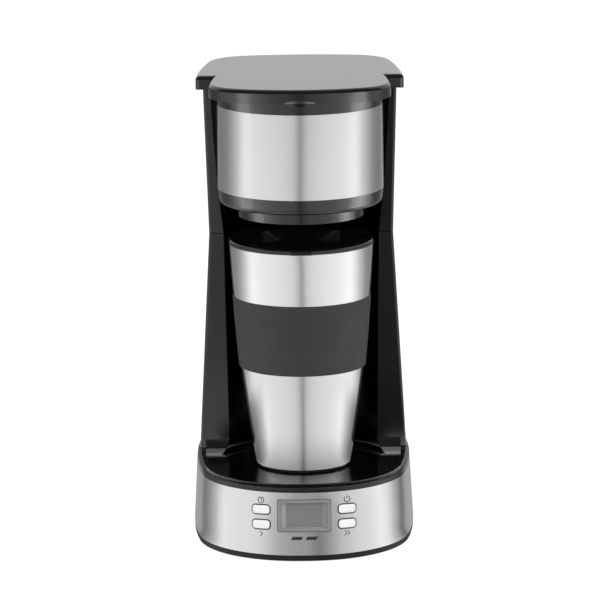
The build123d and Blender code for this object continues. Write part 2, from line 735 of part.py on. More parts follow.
# Water path
def water_tank():
    sizes = (TANK_HALF, TANK_FRONT, TOP_REAR - COLUMN_WALL - FIT, TOP_WIDEST)
    outer = column_face(*sizes, 0, TANK_CORNER) - disc(TANK_R)
    inner = column_face(*sizes, TANK_WALL, TANK_CORNER) - disc(TANK_R + TANK_WALL)
    tank = prism(outer, TANK_BOTTOM, TOP_Z) - prism(inner, TANK_BOTTOM + TANK_FLOOR, TOP_Z + PAST)
    lap = FIT + TANK_EASE + TANK_RIM_LAP
    rim = column_face(*sizes, -lap, TANK_CORNER) - disc(TANK_R - lap)
    tank += prism(rim - inner, TOP_Z, TOP_Z + TANK_RIM)
    low = TANK_BOTTOM - NIPPLE
    above = TANK_BOTTOM + TANK_FLOOR + PAST
    tank += rod(TUBE_R, low, TANK_BOTTOM + SNUG, COLD_ASIDE, COLD_BACK)
    tank -= rod(TUBE_R - TUBE_WALL, low - PAST, above, COLD_ASIDE, COLD_BACK)
    tank -= rod(TUBE_R + SNUG, TANK_BOTTOM - PAST, above, 0, HOT_BACK)
    return tank - spout_notch()


def riser_tube():
    low = TANK_BOTTOM - NIPPLE
    high = SPOUT_Z - SPOUT_R
    tube = rod(TUBE_R, low, high, 0, HOT_BACK)
    collar = TANK_BOTTOM + TANK_FLOOR
    tube += rod(TUBE_R + TUBE_WALL, collar, collar + TANK_FLOOR, 0, HOT_BACK)
    return tube - rod(TUBE_R - TUBE_WALL, low - PAST, high + PAST, 0, HOT_BACK)


def outlet_spout():
    top = SPOUT_Z + SPOUT_R + FIT
    spout = rod(TUBE_R + SNUG + SPOUT_WALL, top - SPOUT_SOCKET, top, 0, HOT_BACK)
    spout += rod_along_y(SPOUT_R, 0, SPOUT_Z, SPOUT_REACH, HOT_BACK)
    spout -= rod(TUBE_R + SNUG, top - SPOUT_SOCKET - PAST, SPOUT_Z - SPOUT_R, 0, HOT_BACK)
    spout -= rod(TUBE_R - TUBE_WALL, top - SPOUT_SOCKET, SPOUT_Z, 0, HOT_BACK)
    spout -= rod_along_y(SPOUT_R - SPOUT_WALL, 0, SPOUT_Z, SPOUT_REACH + SPOUT_WALL, HOT_BACK)
    mouth = SPOUT_REACH + SPOUT_R
    return spout - rod(SPOUT_R - SPOUT_WALL - FIT, SPOUT_Z - SPOUT_R - PAST, SPOUT_Z, 0, mouth)


def hose(x, start, depth, top):
    path = FilletPolyline((x, start, BOILER_Z), (x, depth, BOILER_Z), (x, depth, top), radius=HOSE_BEND)
    end = Plane(origin=(x, start, BOILER_Z), z_dir=(0, 1, 0))
    section = end.location * (Circle(HOSE_R) - Circle(TUBE_R))
    return sweep(section, path)


def cold_hose():
    return hose(COLD_ASIDE, BOILER_BACK + SNUG, COLD_BACK, TANK_BOTTOM - NIPPLE - VALVE_LENGTH)


def hot_hose():
    return hose(0, BOILER_BACK + SNUG, HOT_BACK, TANK_BOTTOM - SNUG)


def check_valve():
    top = TANK_BOTTOM - SNUG
    low = TANK_BOTTOM - NIPPLE - VALVE_LENGTH
    valve = rod(VALVE_R, low + SNUG, top, COLD_ASIDE, COLD_BACK)
    valve -= rod(TUBE_R, TANK_BOTTOM - NIPPLE, top + PAST, COLD_ASIDE, COLD_BACK)
    valve += rod(TUBE_R, low - NIPPLE, low + SNUG, COLD_ASIDE, COLD_BACK)
    bore = rod(TUBE_R - TUBE_WALL, low - NIPPLE - PAST, top, COLD_ASIDE, COLD_BACK)
    return valve - bore


# Boiler
def boiler_path(tail):
    far = COLD_ASIDE + 2 * BOILER_BEND
    near = COLD_ASIDE
    legs = [Line((far, BOILER_BACK + tail), (far, 0)), Line((near, 0), (near, BOILER_BACK + tail))]
    bend = ThreePointArc((far, 0), (near + BOILER_BEND, -BOILER_BEND), (near, 0))
    start = Plane(origin=(far, BOILER_BACK + tail, 0), x_dir=(1, 0, 0), z_dir=(0, -1, 0))
    return Curve() + [legs[0], bend, legs[1]], start


def swept(section, tail, z):
    path, start = boiler_path(tail)
    return Pos(0, 0, z) * sweep(start.location * section, path)


def boiler():
    section = Circle(BOILER_R) + Pos(0, -HEATER_DROP) * Circle(HEATER_SEAT_R)
    section += Pos(0, -HEATER_DROP / 2) * Rectangle(WEB_WIDTH, HEATER_DROP)
    section -= Circle(BOILER_BORE_R)
    section -= Pos(0, -HEATER_DROP) * Circle(HEATER_R + SNUG)
    body = swept(section, 0, BOILER_Z)
    for x in (COLD_ASIDE, COLD_ASIDE + 2 * BOILER_BEND):
        tail = rod_along_y(TUBE_R - SNUG, x, BOILER_Z, BOILER_BACK - SNUG, BOILER_BACK + NIPPLE / 2)
        body += tail - rod_along_y(BOILER_BORE_R, x, BOILER_Z, BOILER_BACK - PAST, BOILER_BACK + NIPPLE)
    return body


def heating_element():
    return swept(Circle(HEATER_R), HEATER_TAIL, HEATER_Z)


def cradle_places():
    back = BOILER_BACK - CRADLE_WIDTH
    far = COLD_ASIDE + 2 * BOILER_BEND
    return [(COLD_ASIDE, back), (far, back), (COLD_ASIDE + BOILER_BEND, -BOILER_BEND)]


def boiler_strap():
    length = 2 * (BOILER_BEND + STRAP_LAP)
    middle = COLD_ASIDE + BOILER_BEND
    plate = Pos(middle, STRAP_BACK) * RectangleRounded(length, STRAP_WIDTH, STRAP_LAP / 2)
    return prism(plate, STRAP_Z, STRAP_Z + STRAP_SHEET)


def thermostat():
    top = STRAP_Z + STRAP_SHEET
    middle = COLD_ASIDE + BOILER_BEND
    body = rod(THERMOSTAT_R, top, top + THERMOSTAT_HEIGHT, middle, STRAP_BACK)
    return fillet(body.edges().group_by(Axis.Z)[-1], STRAP_SHEET / 2)


def thermal_fuses():
    top = STRAP_Z + STRAP_SHEET + FUSE_R + SNUG
    away = BOILER_BEND - FUSE_R
    fuses = []
    for side in (-1, 1):
        x = COLD_ASIDE + BOILER_BEND + side * away
        front = STRAP_BACK - FUSE_LENGTH / 2
        fuses.append(rod_along_y(FUSE_R, x, top, front, front + FUSE_LENGTH))
    return Part() + fuses


# Control panel
def display_bezel():
    frame = rounded(DISPLAY_WIDTH, DISPLAY_HEIGHT, DISPLAY_CORNER)
    hole = rounded(WINDOW_WIDTH, WINDOW_HEIGHT, WINDOW_CORNER, SNUG)
    frame = on_panel(frame - hole, 0, 0, -BEZEL_DEPTH, BEZEL_DEPTH)
    return frame & base_body(COVER_TOP, BAND_TOP, SNUG)


def display_window():
    pane = rounded(WINDOW_WIDTH, WINDOW_HEIGHT, WINDOW_CORNER)
    return on_panel(pane, 0, 0, -WINDOW_SINK - WINDOW_SHEET, -WINDOW_SINK)


def display_module():
    block = rounded(DISPLAY_WIDTH, DISPLAY_HEIGHT, DISPLAY_CORNER, -SNUG)
    return on_panel(block, 0, 0, -BOARD_DEPTH, -BEZEL_DEPTH - SNUG)


def push_button(x, up):
    deep = 2 * BOARD_DEPTH
    back = LIP_INNER + BUTTON_LIP
    cap = on_panel(rounded(BUTTON_WIDTH, BUTTON_HEIGHT, BUTTON_CORNER), x, up, -deep / 2, deep)
    cap &= base_layer(-BUTTON_PROUD, back)
    cap = fillet(cap.faces().sort_by(Axis.Y)[0].edges(), BUTTON_ROUND)
    lip = on_panel(rounded(BUTTON_WIDTH, BUTTON_HEIGHT, BUTTON_CORNER, BUTTON_LIP), x, up, -deep / 2, deep)
    lip &= base_layer(LIP_INNER, back)
    stem = on_panel(Circle(BUTTON_STEM_R), x, up, BUTTON_STEM_END, 0)
    stem &= base_body(COVER_TOP, BAND_TOP, LIP_INNER)
    return cap + lip + stem


def indicator_lenses():
    deep = BOARD_DEPTH
    lenses = []
    for side in (-1, 1):
        lens = on_panel(lamp_shape(), side * LAMP_ASIDE, LAMP_DROP, -deep, deep)
        lens &= base_layer(SNUG, LIP_INNER + BUTTON_LIP)
        lip = on_panel(lamp_shape(LAMP_LIP), side * LAMP_ASIDE, LAMP_DROP, -deep, deep)
        lenses.append(lens + (lip & base_layer(SHELL_INNER + SNUG, LIP_INNER + BUTTON_LIP)))
    return Part() + lenses


def indicator_lamps():
    lamps = []
    for side in (-1, 1):
        top = -LIP_INNER - BUTTON_LIP - FIT
        lamps.append(on_panel(Circle(LAMP_R), side * LAMP_ASIDE, LAMP_DROP, -BOARD_DEPTH, top))
    return Part() + lamps


def control_board():
    board = Rectangle(BOARD_WIDTH, BOARD_HEIGHT)
    return on_panel(board, 0, BOARD_DROP, -BOARD_DEPTH - BOARD_SHEET, -BOARD_DEPTH)


def button_switches():
    switches = []
    for x, up in button_places():
        top = SWITCH_BODY - BOARD_DEPTH
        body = on_panel(Rectangle(SWITCH_SIDE, SWITCH_SIDE), x, up, -BOARD_DEPTH, top)
        switches.append(body + on_panel(Circle(SWITCH_PLUNGER_R), x, up, top, top + SWITCH_PLUNGER))
    return Part() + switches


# Power board and cord entry
def power_posts():
    across = POWER_WIDTH / 2 - BOSS_R
    along = POWER_DEPTH / 2 - BOSS_R
    return [(POWER_ASIDE + i * across, POWER_BACK + j * along) for i in (-1, 1) for j in (-1, 1)]


def power_board():
    top = POWER_Z + BOARD_SHEET
    board = prism(Pos(POWER_ASIDE, POWER_BACK) * Rectangle(POWER_WIDTH, POWER_DEPTH), POWER_Z, top)
    for size, place in ((RELAY, RELAY_AT), (COIL, COIL_AT)):
        base = Pos(POWER_ASIDE + place[0], POWER_BACK + place[1]) * Rectangle(size[0], size[1])
        board += prism(base, top, top + size[2])
    x, y = POWER_ASIDE + CAPACITOR_AT[0], POWER_BACK + CAPACITOR_AT[1]
    return board + rod(CAPACITOR_R, top, top + CAPACITOR_HEIGHT, x, y)


def cord_gland():
    front = BASE_BACK / 2
    bush = rod_along_y(GLAND_R, GLAND_ASIDE, GLAND_Z, front, BASE_BACK)
    bush &= base_layer(-GLAND_PROUD, SHELL_INNER + GLAND_INSIDE)
    flange = rod_along_y(GLAND_R + GLAND_FLANGE, GLAND_ASIDE, GLAND_Z, front, BASE_BACK)
    bush += flange & base_layer(-GLAND_PROUD, -SNUG)
    return bush - rod_along_y(CORD_R, GLAND_ASIDE, GLAND_Z, front, BASE_BACK + PAST)


# Travel mug
def mug_r(z, inset=0.0):
    rise = MUG_TOP - MUG_Z
    flare = MUG_RIM_R - MUG_BOTTOM_R
    chord = math.hypot(rise, flare)
    reach = math.sqrt(MUG_SIDE_R ** 2 - chord ** 2 / 4) / chord
    centre_r = (MUG_BOTTOM_R + MUG_RIM_R) / 2 - reach * rise
    centre_z = (MUG_Z + MUG_TOP) / 2 + reach * flare
    return centre_r + math.sqrt((MUG_SIDE_R - inset) ** 2 - (z - centre_z) ** 2)


def mug_side(low, high, inset=0.0):
    points = [(mug_r(z, inset), z) for z in (low, (low + high) / 2, high)]
    return ThreePointArc(*points)


def mug_cup(low, high, inset):
    side = mug_side(low, high, inset)
    return turned(side, Polyline(side @ 1, (0, high), (0, low), side @ 0))


def mug_shell():
    shell = mug_cup(MUG_Z, MUG_TOP, 0)
    return shell - mug_cup(MUG_Z + MUG_SHEET, MUG_TOP, MUG_SHEET)


def liner_inset():
    return MUG_SHEET + LINER_GAP


def mug_liner():
    outer = mug_cup(LINER_Z, MUG_TOP, liner_inset())
    outer += rod(MUG_RIM_R + LIP_PROUD, MUG_TOP, LID_SEAT)
    outer -= mug_cup(LINER_Z + LINER_FLOOR, LID_SEAT, liner_inset() + LINER_WALL)
    return outer


def mug_foot():
    pad = rod(MUG_BOTTOM_R - MUG_FOOT_INSET, DECK_Z, MUG_Z)
    return fillet(pad.edges().group_by(Axis.Z)[0], MUG_FOOT / 3)


def mug_sleeve():
    low = DECK_Z + SLEEVE_LOW
    high = DECK_Z + SLEEVE_HIGH
    inner = mug_side(low, high, -SNUG / 2)
    foot = (mug_r(low) + SLEEVE_FOOT, low)
    top = (mug_r(high) + SLEEVE_TOP, high)
    middle_z = (low + high) / 2
    middle = (mug_r(middle_z) + (SLEEVE_FOOT + SLEEVE_TOP) / 2, middle_z)
    outer = ThreePointArc(foot, middle, top)
    return turned(inner, outer, Line(inner @ 0, foot), Line(inner @ 1, top))


def plug_radius():
    low = LID_SEAT - MUG_LID_PLUG
    return mug_r(low, liner_inset() + LINER_WALL) - FIT


def mug_lid():
    top = LID_SEAT + MUG_LID_FLANGE
    plug = plug_radius()
    low = LID_SEAT - MUG_LID_PLUG
    bowl = DISH_R - MUG_LID_PLUG / 4
    edge = MUG_LID_FLANGE / 3
    outline = Polyline(
        (0, low), (plug, low), (plug, LID_SEAT), (MUG_RIM_R, LID_SEAT), (MUG_RIM_R, top - edge),
        (MUG_RIM_R - edge, top), (DISH_R + DISH_SLOPE, top), (DISH_R, top - DISH_SLOPE / 2),
        (bowl, DISH_FLOOR), (0, DISH_FLOOR), close=True)
    lid = turned(outline)
    groove = low + SEAL_UP
    lid -= ring(plug + PAST, plug - SEAL_DEPTH, groove - SNUG, groove + SEAL_HEIGHT + SNUG)
    tab = Pos(0, -MUG_RIM_R) * RectangleRounded(TAB_WIDTH, 2 * TAB_OUT, TAB_OUT / 2)
    lid += prism(tab, LID_SEAT - TAB_DROP, top - edge) - rod(MUG_RIM_R + LIP_PROUD + FIT, 0, LID_SEAT)
    lid -= prism(Pos(0, SIP_FRONT) * SlotOverall(SIP_WIDTH, SIP_LENGTH), low - PAST, top)
    guide = Pos(0, slider_middle() + SLIDER_TRAVEL / 2) * Rot(0, 0, 90) * SlotOverall(
        SLIDER_TRAVEL + SLIDER_STEM + 2 * FIT, SLIDER_STEM + 2 * FIT)
    return lid - prism(guide, low - PAST, top)


def slider_middle():
    return SIP_FRONT + SIP_LENGTH / 2 + FIT + SLIDER_STEM


def mug_lid_seal():
    low = LID_SEAT - MUG_LID_PLUG + SEAL_UP
    plug = plug_radius()
    return ring(plug - SNUG, plug - SEAL_DEPTH + SNUG, low, low + SEAL_HEIGHT)


def mug_slider():
    low = DISH_FLOOR + SNUG
    middle = slider_middle()
    front = SIP_FRONT - SIP_LENGTH / 2 - PAST
    back = middle + SLIDER_STEM
    plate = Pos(0, (front + back) / 2) * RectangleRounded(SLIDER_WIDTH, back - front, SLIDER_STEM / 2)
    slider = prism(plate, low, low + SLIDER_SHEET)
    ridge = Pos(0, middle) * RectangleRounded(SLIDER_WIDTH - SLIDER_STEM, SLIDER_STEM, SLIDER_STEM / 3)
    slider += prism(ridge, low, low + SLIDER_SHEET + SLIDER_RIDGE)
    floor = LID_SEAT - MUG_LID_PLUG
    slider += rod(SLIDER_STEM / 2, floor - SNUG - CATCH_SHEET, low + SLIDER_SHEET, 0, middle)
    return slider + rod(SLIDER_CATCH / 2, floor - SNUG - CATCH_SHEET, floor - SNUG, 0, middle)


PANEL = Plane(
    origin=(0, draft_at(DISPLAY_Z) - BASE_FRONT, DISPLAY_Z),
    x_dir=(1, 0, 0),
    z_dir=(0, -math.cos(PANEL_TILT), math.sin(PANEL_TILT)))

PIECES = {
    "base_cover": base_cover,
    "base_feet": base_feet,
    "cover_screws": cover_screws,
    "base_shell": base_shell,
    "base_band": base_band,
    "base_deck": base_deck,
    "lower_housing": lower_housing,
    "upper_housing": upper_housing,
    "hinge_pins": hinge_pins,
    "brew_drum": brew_drum,
    "drum_band": drum_band,
    "filter_basket": filter_basket,
    "filter_frame": filter_frame,
    "filter_mesh": filter_mesh,
    "water_tank": water_tank,
    "riser_tube": riser_tube,
    "outlet_spout": outlet_spout,
    "cold_hose": cold_hose,
    "hot_hose": hot_hose,
    "check_valve": check_valve,
    "boiler": boiler,
    "heating_element": heating_element,
    "boiler_strap": boiler_strap,
    "thermostat": thermostat,
    "thermal_fuses": thermal_fuses,
    "display_bezel": display_bezel,
    "display_window": display_window,
    "display_module": display_module,
    "indicator_lenses": indicator_lenses,
    "indicator_lamps": indicator_lamps,
    "control_board": control_board,
    "button_switches": button_switches,
    "power_board": power_board,
    "cord_gland": cord_gland,
    "lid_shell": lid_shell,
    "lid_panel": lid_panel,
    "mug_shell": mug_shell,
    "mug_liner": mug_liner,
    "mug_foot": mug_foot,
    "mug_sleeve": mug_sleeve,
    "mug_lid": mug_lid,
    "mug_lid_seal": mug_lid_seal,
    "mug_slider": mug_slider,
}
BUTTONS = ("program_button", "hour_button", "power_button", "minute_button")

os.makedirs("parts", exist_ok=True)
for name, make in PIECES.items():
    export_step(Pos(0, AXIS_Y, 0) * make(), f"parts/{name}.step")
for name, (x, up) in zip(BUTTONS, button_places()):
    export_step(Pos(0, AXIS_Y, 0) * push_button(x, up), f"parts/{name}.step")
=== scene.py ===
import math
import bmesh
import bpy
from mathutils import Matrix, Vector
from mathutils.bvhtree import BVHTree


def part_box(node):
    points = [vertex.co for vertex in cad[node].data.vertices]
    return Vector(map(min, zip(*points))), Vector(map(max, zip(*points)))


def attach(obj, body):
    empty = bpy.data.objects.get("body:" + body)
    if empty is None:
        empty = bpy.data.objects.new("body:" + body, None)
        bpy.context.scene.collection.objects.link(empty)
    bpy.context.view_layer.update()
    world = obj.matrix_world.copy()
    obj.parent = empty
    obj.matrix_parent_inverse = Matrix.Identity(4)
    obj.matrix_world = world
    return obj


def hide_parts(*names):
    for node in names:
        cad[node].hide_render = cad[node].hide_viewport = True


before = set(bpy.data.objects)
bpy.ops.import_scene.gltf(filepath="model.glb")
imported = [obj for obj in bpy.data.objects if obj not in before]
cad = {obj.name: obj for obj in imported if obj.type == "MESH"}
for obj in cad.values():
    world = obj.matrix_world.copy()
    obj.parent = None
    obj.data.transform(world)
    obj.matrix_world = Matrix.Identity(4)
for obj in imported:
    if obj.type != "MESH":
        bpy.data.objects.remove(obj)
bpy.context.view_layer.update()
scene = bpy.context.scene
scene.view_settings.view_transform = "Standard"
mugLow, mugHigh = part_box("mug_shell")
brewY = (mugLow.y + mugHigh.y) / 2  # drum and mug share this axis
print("frame loaded:", len(cad), "nodes, brew axis at y", round(brewY, 4))


# camera, from the ellipses of rim, drum and base in the photograph
cameraSet = {
    "distance": 2.75,  # along the floor, from the brew axis
    "height": 0.710,
    "pitch": 11.67,
    "roll": 0.6,
    "aside": -0.0011,
    "lens": 286.6,
    "sensor": 36.0,
    "clip": (0.02, 60.0),
}


def makeCamera(look):
    data = bpy.data.cameras.new("photoCamera")
    data.sensor_width = look["sensor"]
    data.lens = look["lens"]
    data.clip_start, data.clip_end = look["clip"]
    camera = bpy.data.objects.new("photoCamera", data)
    scene.collection.objects.link(camera)
    place = Vector((look["aside"], -look["distance"], look["height"])) + Vector((0, brewY, 0))
    tip = Matrix.Rotation(math.radians(90 - look["pitch"]), 4, "X")
    roll = Matrix.Rotation(math.radians(-look["roll"]), 4, "Z")
    camera.matrix_world = Matrix.Translation(place) @ tip @ roll
    scene.camera = camera


makeCamera(cameraSet)
print("camera set")


# small helpers for meshes and node trees
def newObject(name, mesh):
    made = bpy.data.objects.new(name, mesh)
    scene.collection.objects.link(made)
    return made


def meshFrom(name, points, faces):
    mesh = bpy.data.meshes.new(name)
    mesh.from_pydata(points, [], faces)
    mesh.update()
    return mesh


def meshOf(name, shape):  # the mesh of a finished bmesh shape
    mesh = bpy.data.meshes.new(name)
    shape.to_mesh(mesh)
    shape.free()
    return mesh


def closedMesh(name, points, faces):  # as meshFrom, with all faces turned outwards
    mesh = meshFrom(name, points, faces)
    shape = bmesh.new()
    shape.from_mesh(mesh)
    bmesh.ops.recalc_face_normals(shape, faces=shape.faces)
    shape.to_mesh(mesh)
    shape.free()
    return mesh


def middleAndHalf(values):
    return (min(values) + max(values)) / 2, (max(values) - min(values)) / 2


def circle(radius, sides):
    turns = [math.tau * step / sides for step in range(sides)]
    return [(radius * math.cos(turn), radius * math.sin(turn)) for turn in turns]


def ringFaces(rows, sides):  # quads between rings of points that lie one after the other
    faces = []
    for low in range(0, (rows - 1) * sides, sides):
        for step in range(sides):
            after = (step + 1) % sides
            faces.append((low + step, low + sides + step, low + sides + after, low + after))
    return faces


def feed(tree, node, values):  # sockets by name or number, each with a constant or another node's output
    for key, value in values.items():
        if isinstance(value, bpy.types.NodeSocket):
            tree.links.new(value, node.inputs[key])
        else:
            node.inputs[key].default_value = value


def addNode(tree, kind, values=None, **settings):
    node = tree.nodes.new(kind)
    for key, value in settings.items():
        setattr(node, key, value)
    feed(tree, node, values or {})
    return node


def output(tree, kind, values=None, **settings):  # the first one of a new node
    return addNode(tree, kind, values, **settings).outputs[0]


def newMaterial(name):
    material = bpy.data.materials.new(name)
    material.use_nodes = True
    material.node_tree.nodes.clear()
    return material, material.node_tree


def newTree(name, kind, inputs, outputs):  # inputs of name, kind and value, outputs of name and kind
    tree = bpy.data.node_groups.new(name, kind)
    for label, socketKind, value in inputs:
        socket = tree.interface.new_socket(name=label, in_out="INPUT", socket_type=socketKind)
        if value is not None:
            socket.default_value = value
    for label, socketKind in outputs:
        tree.interface.new_socket(name=label, in_out="OUTPUT", socket_type=socketKind)
    return tree, addNode(tree, "NodeGroupInput"), addNode(tree, "NodeGroupOutput")


def objectCoords(tree):
    return addNode(tree, "ShaderNodeTexCoord").outputs["Object"]


def splitVector(tree, vector):
    return addNode(tree, "ShaderNodeSeparateXYZ", {0: vector}).outputs


def joinVector(tree, **parts):
    return output(tree, "ShaderNodeCombineXYZ", parts)


def mapped(tree, vector, **values):
    return output(tree, "ShaderNodeMapping", {"Vector": vector, **values})


def addColors(tree, first, second):
    return output(tree, "ShaderNodeVectorMath", {0: first, 1: second}, operation="ADD")


def addShaders(tree, first, second):
    return addNode(tree, "ShaderNodeAddShader", {0: first.outputs[0], 1: second.outputs[0]})


def mixShaders(tree, factor, first, second):
    return addNode(tree, "ShaderNodeMixShader", {0: factor, 1: first.outputs[0], 2: second.outputs[0]})


def toSurface(tree, shader):
    addNode(tree, "ShaderNodeOutputMaterial", {"Surface": shader.outputs[0]})


def rampOver(tree, value, stops):  # places from 0 to 1 with their colours
    ramp = addNode(tree, "ShaderNodeValToRGB", {"Fac": value})
    elements = ramp.color_ramp.elements
    for index, (place, color) in enumerate(stops):
        stop = elements[index] if index < 2 else elements.new(place)
        stop.position = place
        stop.color = color
    return ramp.outputs["Color"]


def grey(value, warmth=0.0):
    return (value * (1 + warmth), value, value * (1 - warmth), 1)


def maths(tree, operation, first, second=None, clamp=False):
    values = {0: first} if second is None else {0: first, 1: second}
    return output(tree, "ShaderNodeMath", values, operation=operation, use_clamp=clamp)


def times(tree, first, second):
    return maths(tree, "MULTIPLY", first, second)


def plus(tree, first, second):
    return maths(tree, "ADD", first, second)


def minus(tree, first, second):
    return maths(tree, "SUBTRACT", first, second)


def rescale(tree, value, low, high):
    values = {"Value": value, "To Min": low, "To Max": high}
    return addNode(tree, "ShaderNodeMapRange", values).outputs["Result"]


def between(tree, value, low, high):  # 0 at the low end, 1 at the high end
    return maths(tree, "DIVIDE", minus(tree, value, low), high - low, clamp=True)


def fromBrewAxis(tree):  # Object coordinates, with the brew axis in the middle
    return mapped(tree, objectCoords(tree), Location=(0, -brewY, 0))


def reachOf(tree, x, y):
    square = plus(tree, times(tree, x, x), times(tree, y, y))
    return maths(tree, "SQRT", square)


def aroundBrew(tree):  # direction, distance and height of a point, seen from the brew axis
    x, y, z = splitVector(tree, fromBrewAxis(tree))
    turn = maths(tree, "ARCTAN2", x, times(tree, y, -1.0))
    return turn, reachOf(tree, x, y), z


# white studio: pale floor, soft boxes, and tents, cards and strips of light that only gloss can see
studioSet = {
    "floorSpan": 12.0,
    "floorDrop": 0.0003,  # just under the feet
    "floorColor": (0.32, 0.32, 0.32, 1),
    "floorGlow": 0.84,
    "worldFill": 0.52,
    "boxes": [  # name, place, aim, width, height, radiance
        ("leftBox", (-0.92, -0.42, 0.52), (0, -0.02, 0.16), 0.6, 1.3, 1.5),
        ("rightBox", (0.92, -0.42, 0.52), (0, -0.02, 0.16), 0.6, 1.3, 1.5),
        ("topBox", (0.0, -0.35, 1.75), (0, 0.0, 0.15), 1.3, 1.1, 1.5),
        ("frontBox", (0.0, -1.9, 0.9), (0, -0.05, 0.05), 1.4, 1.0, 3.9),
    ],
}
clothSides = 96
tentSet = {
    "hub": 0.001,
    "radius": 0.75,
    "height": 1.1,
    "lift": 0.0001,
    "lidRise": 0.284,  # above this the back is white, for the lid, and the front dark, for rims and dishes
    "lidSide": 100,
    "lidWhite": 0.96,
    "frontDark": 0.1,
    "fade": 0.012,
    "sideEdge": 4.0,  # how sharply front and back part above the lid
    "wallFrom": (0.97, 0.98),  # shares of the radius where the floor turns into the wall
    "squeeze": (0.74, 0.9),  # the floor's shades lie closer to the front, most of all near the mug
    "farGain": 0.22,  # and the floor is brighter far from the mug
    "far": (0.3, 0.44),
    "shades": [  # degrees from the camera's side, left negative, and the brightness of the cloth there
        (-180, 0.6), (-172, 0.3), (-140, 0.25), (-120, 0.31), (-110, 0.45), (-100, 0.62), (-94, 0.8),
        (-88, 1.02), (-82, 1.26), (-75, 1.3), (-68, 1.2), (-60, 1.14), (-45, 1.1), (-30, 1.04),
        (-16, 0.95), (-9, 0.84), (-4, 0.62), (0, 0.34), (4, 0.66), (9, 0.86), (16, 0.95), (30, 1.04),
        (45, 1.12), (60, 1.18), (69, 1.3), (75, 1.4), (82, 1.32), (94, 0.86), (110, 0.48), (120, 0.32),
        (140, 0.26), (180, 0.6),
    ],
}
cardSet = {  # a low ring of card for the base's band, and one on the deck for the mug's foot
    "hub": 0.004,
    "radius": 0.125,
    "height": 0.036,
    "lift": 0.0002,
    "deckRadius": 0.135,
    "deckLift": 0.0003,
    "deckFocus": 0.012,  # metres; the nearer the mug, the more its sides look backwards
    "deckShade": (0.03, 0.066, 0.5),  # from here to here the mug's foot darkens, down to this
    "deckRight": 1.07,  # the mug's right side stays bright further round,
    "rightSide": (60, 160),  # between these degrees
    "near": (0.066, 0.125, 1.3),  # close to the base its sides look backwards too, by this much
    "shades": [
        (-180, 0.5), (-134, 0.4), (-125, 0.38), (-117, 0.22), (-111, 0.3), (-105, 0.35), (-100, 0.44),
        (-95, 0.55), (-90, 0.66), (-86, 0.82), (-81, 1.05), (-78, 1.18), (-73, 1.25), (-59, 1.15),
        (-41, 1.11), (-31, 0.97), (-24, 0.75), (-17, 0.61), (-8, 0.52), (2, 0.47), (10, 0.3), (16, 0.42),
        (23, 0.6), (29, 0.8), (41, 0.97), (59, 1.14), (70, 1.34), (81, 1.17), (89, 0.8), (99, 0.49),
        (110, 0.18), (123, 0.44),
    ],
}
drumStrips = {
    "name": "drumStrips",
    "rows": [(0.3, 0.03), (0.3, 0.272)],  # radius and height
    "nodes": ["brew_drum", "filter_basket"],
    "shades": [
        (-180, 0.0), (-108, 0.0), (-100, 0.4), (-92, 0.9), (-86, 2.1), (-70, 2.1), (-66, 1.0),
        (-54, 0.5), (-40, 0.1), (-30, 0.0), (40, 0.0), (52, 0.2), (60, 0.6), (65, 0.6), (69, 1.4),
        (76, 2.8), (83, 3.4), (89, 3.5), (93, 2.6), (99, 1.5), (106, 0.8), (114, 0.0),
    ],
}
lidStrips = {
    "name": "lidStrips",
    "rows": [(0.31, 0.15), (0.31, 0.272)],
    "nodes": ["lid_shell"],
    "shades": [
        (-180, 0.0), (-72, 0.0), (-54, 0.6), (-41, 0.7), (-38, 2.2), (-36, 3.2), (-33, 2.7), (-31, 1.8),
        (-28, 1.0), (-21, 0.3), (-15, 0.0), (14, 0.0), (20, 0.4), (26, 0.6), (30, 1.3), (33, 2.9),
        (35, 3.8), (42, 3.6), (50, 1.2), (62, 0.0),
    ],
}
columnTent = {  # the column has its own tent just inside the other, darker before its right wing
    "nodes": ["lower_housing", "upper_housing"],
    "radius": 0.745,
    "height": 1.095,
    "lift": 0.00015,
    "wingShades": [(0, 0.3), (4, 0.12), (8, 0.02), (15, 0.03), (20, 0.6), (30, 1.04)],
    "wingEnd": 45,  # up to here they take the place of the other tent's shades
}
columnDeck = {  # and its own card on the deck, lit before its left wing and over its toes
    "name": "columnDeck",
    "rows": [(0.051, 0.0464), (0.135, 0.0464)],
    "nodes": columnTent["nodes"],
    "shades": [
        (-180, 1.5), (-110, 1.5), (-90, 1.1), (-6, 1.1), (6, 0.02), (85, 0.02), (110, 1.9), (179, 1.9),
    ],
}


def seenDirectly(tree):
    path = addNode(tree, "ShaderNodeLightPath")
    both = maths(tree, "MAXIMUM", path.outputs["Is Camera Ray"], path.outputs["Is Glossy Ray"])
    return maths(tree, "MAXIMUM", both, path.outputs["Is Transmission Ray"])


def makeWorld(look):
    world = bpy.data.worlds.new("whiteStudio")
    scene.world = world
    world.use_nodes = True
    tree = world.node_tree
    tree.nodes.clear()
    fill = addNode(tree, "ShaderNodeBackground", {"Strength": look["worldFill"], "Color": grey(1.0)})
    white = addNode(tree, "ShaderNodeBackground", {"Strength": 1.0, "Color": grey(1.0)})
    mix = mixShaders(tree, seenDirectly(tree), fill, white)
    addNode(tree, "ShaderNodeOutputWorld", {"Surface": mix.outputs[0]})


def glowWith(tree, strength):
    return addNode(tree, "ShaderNodeEmission", {"Strength": strength})


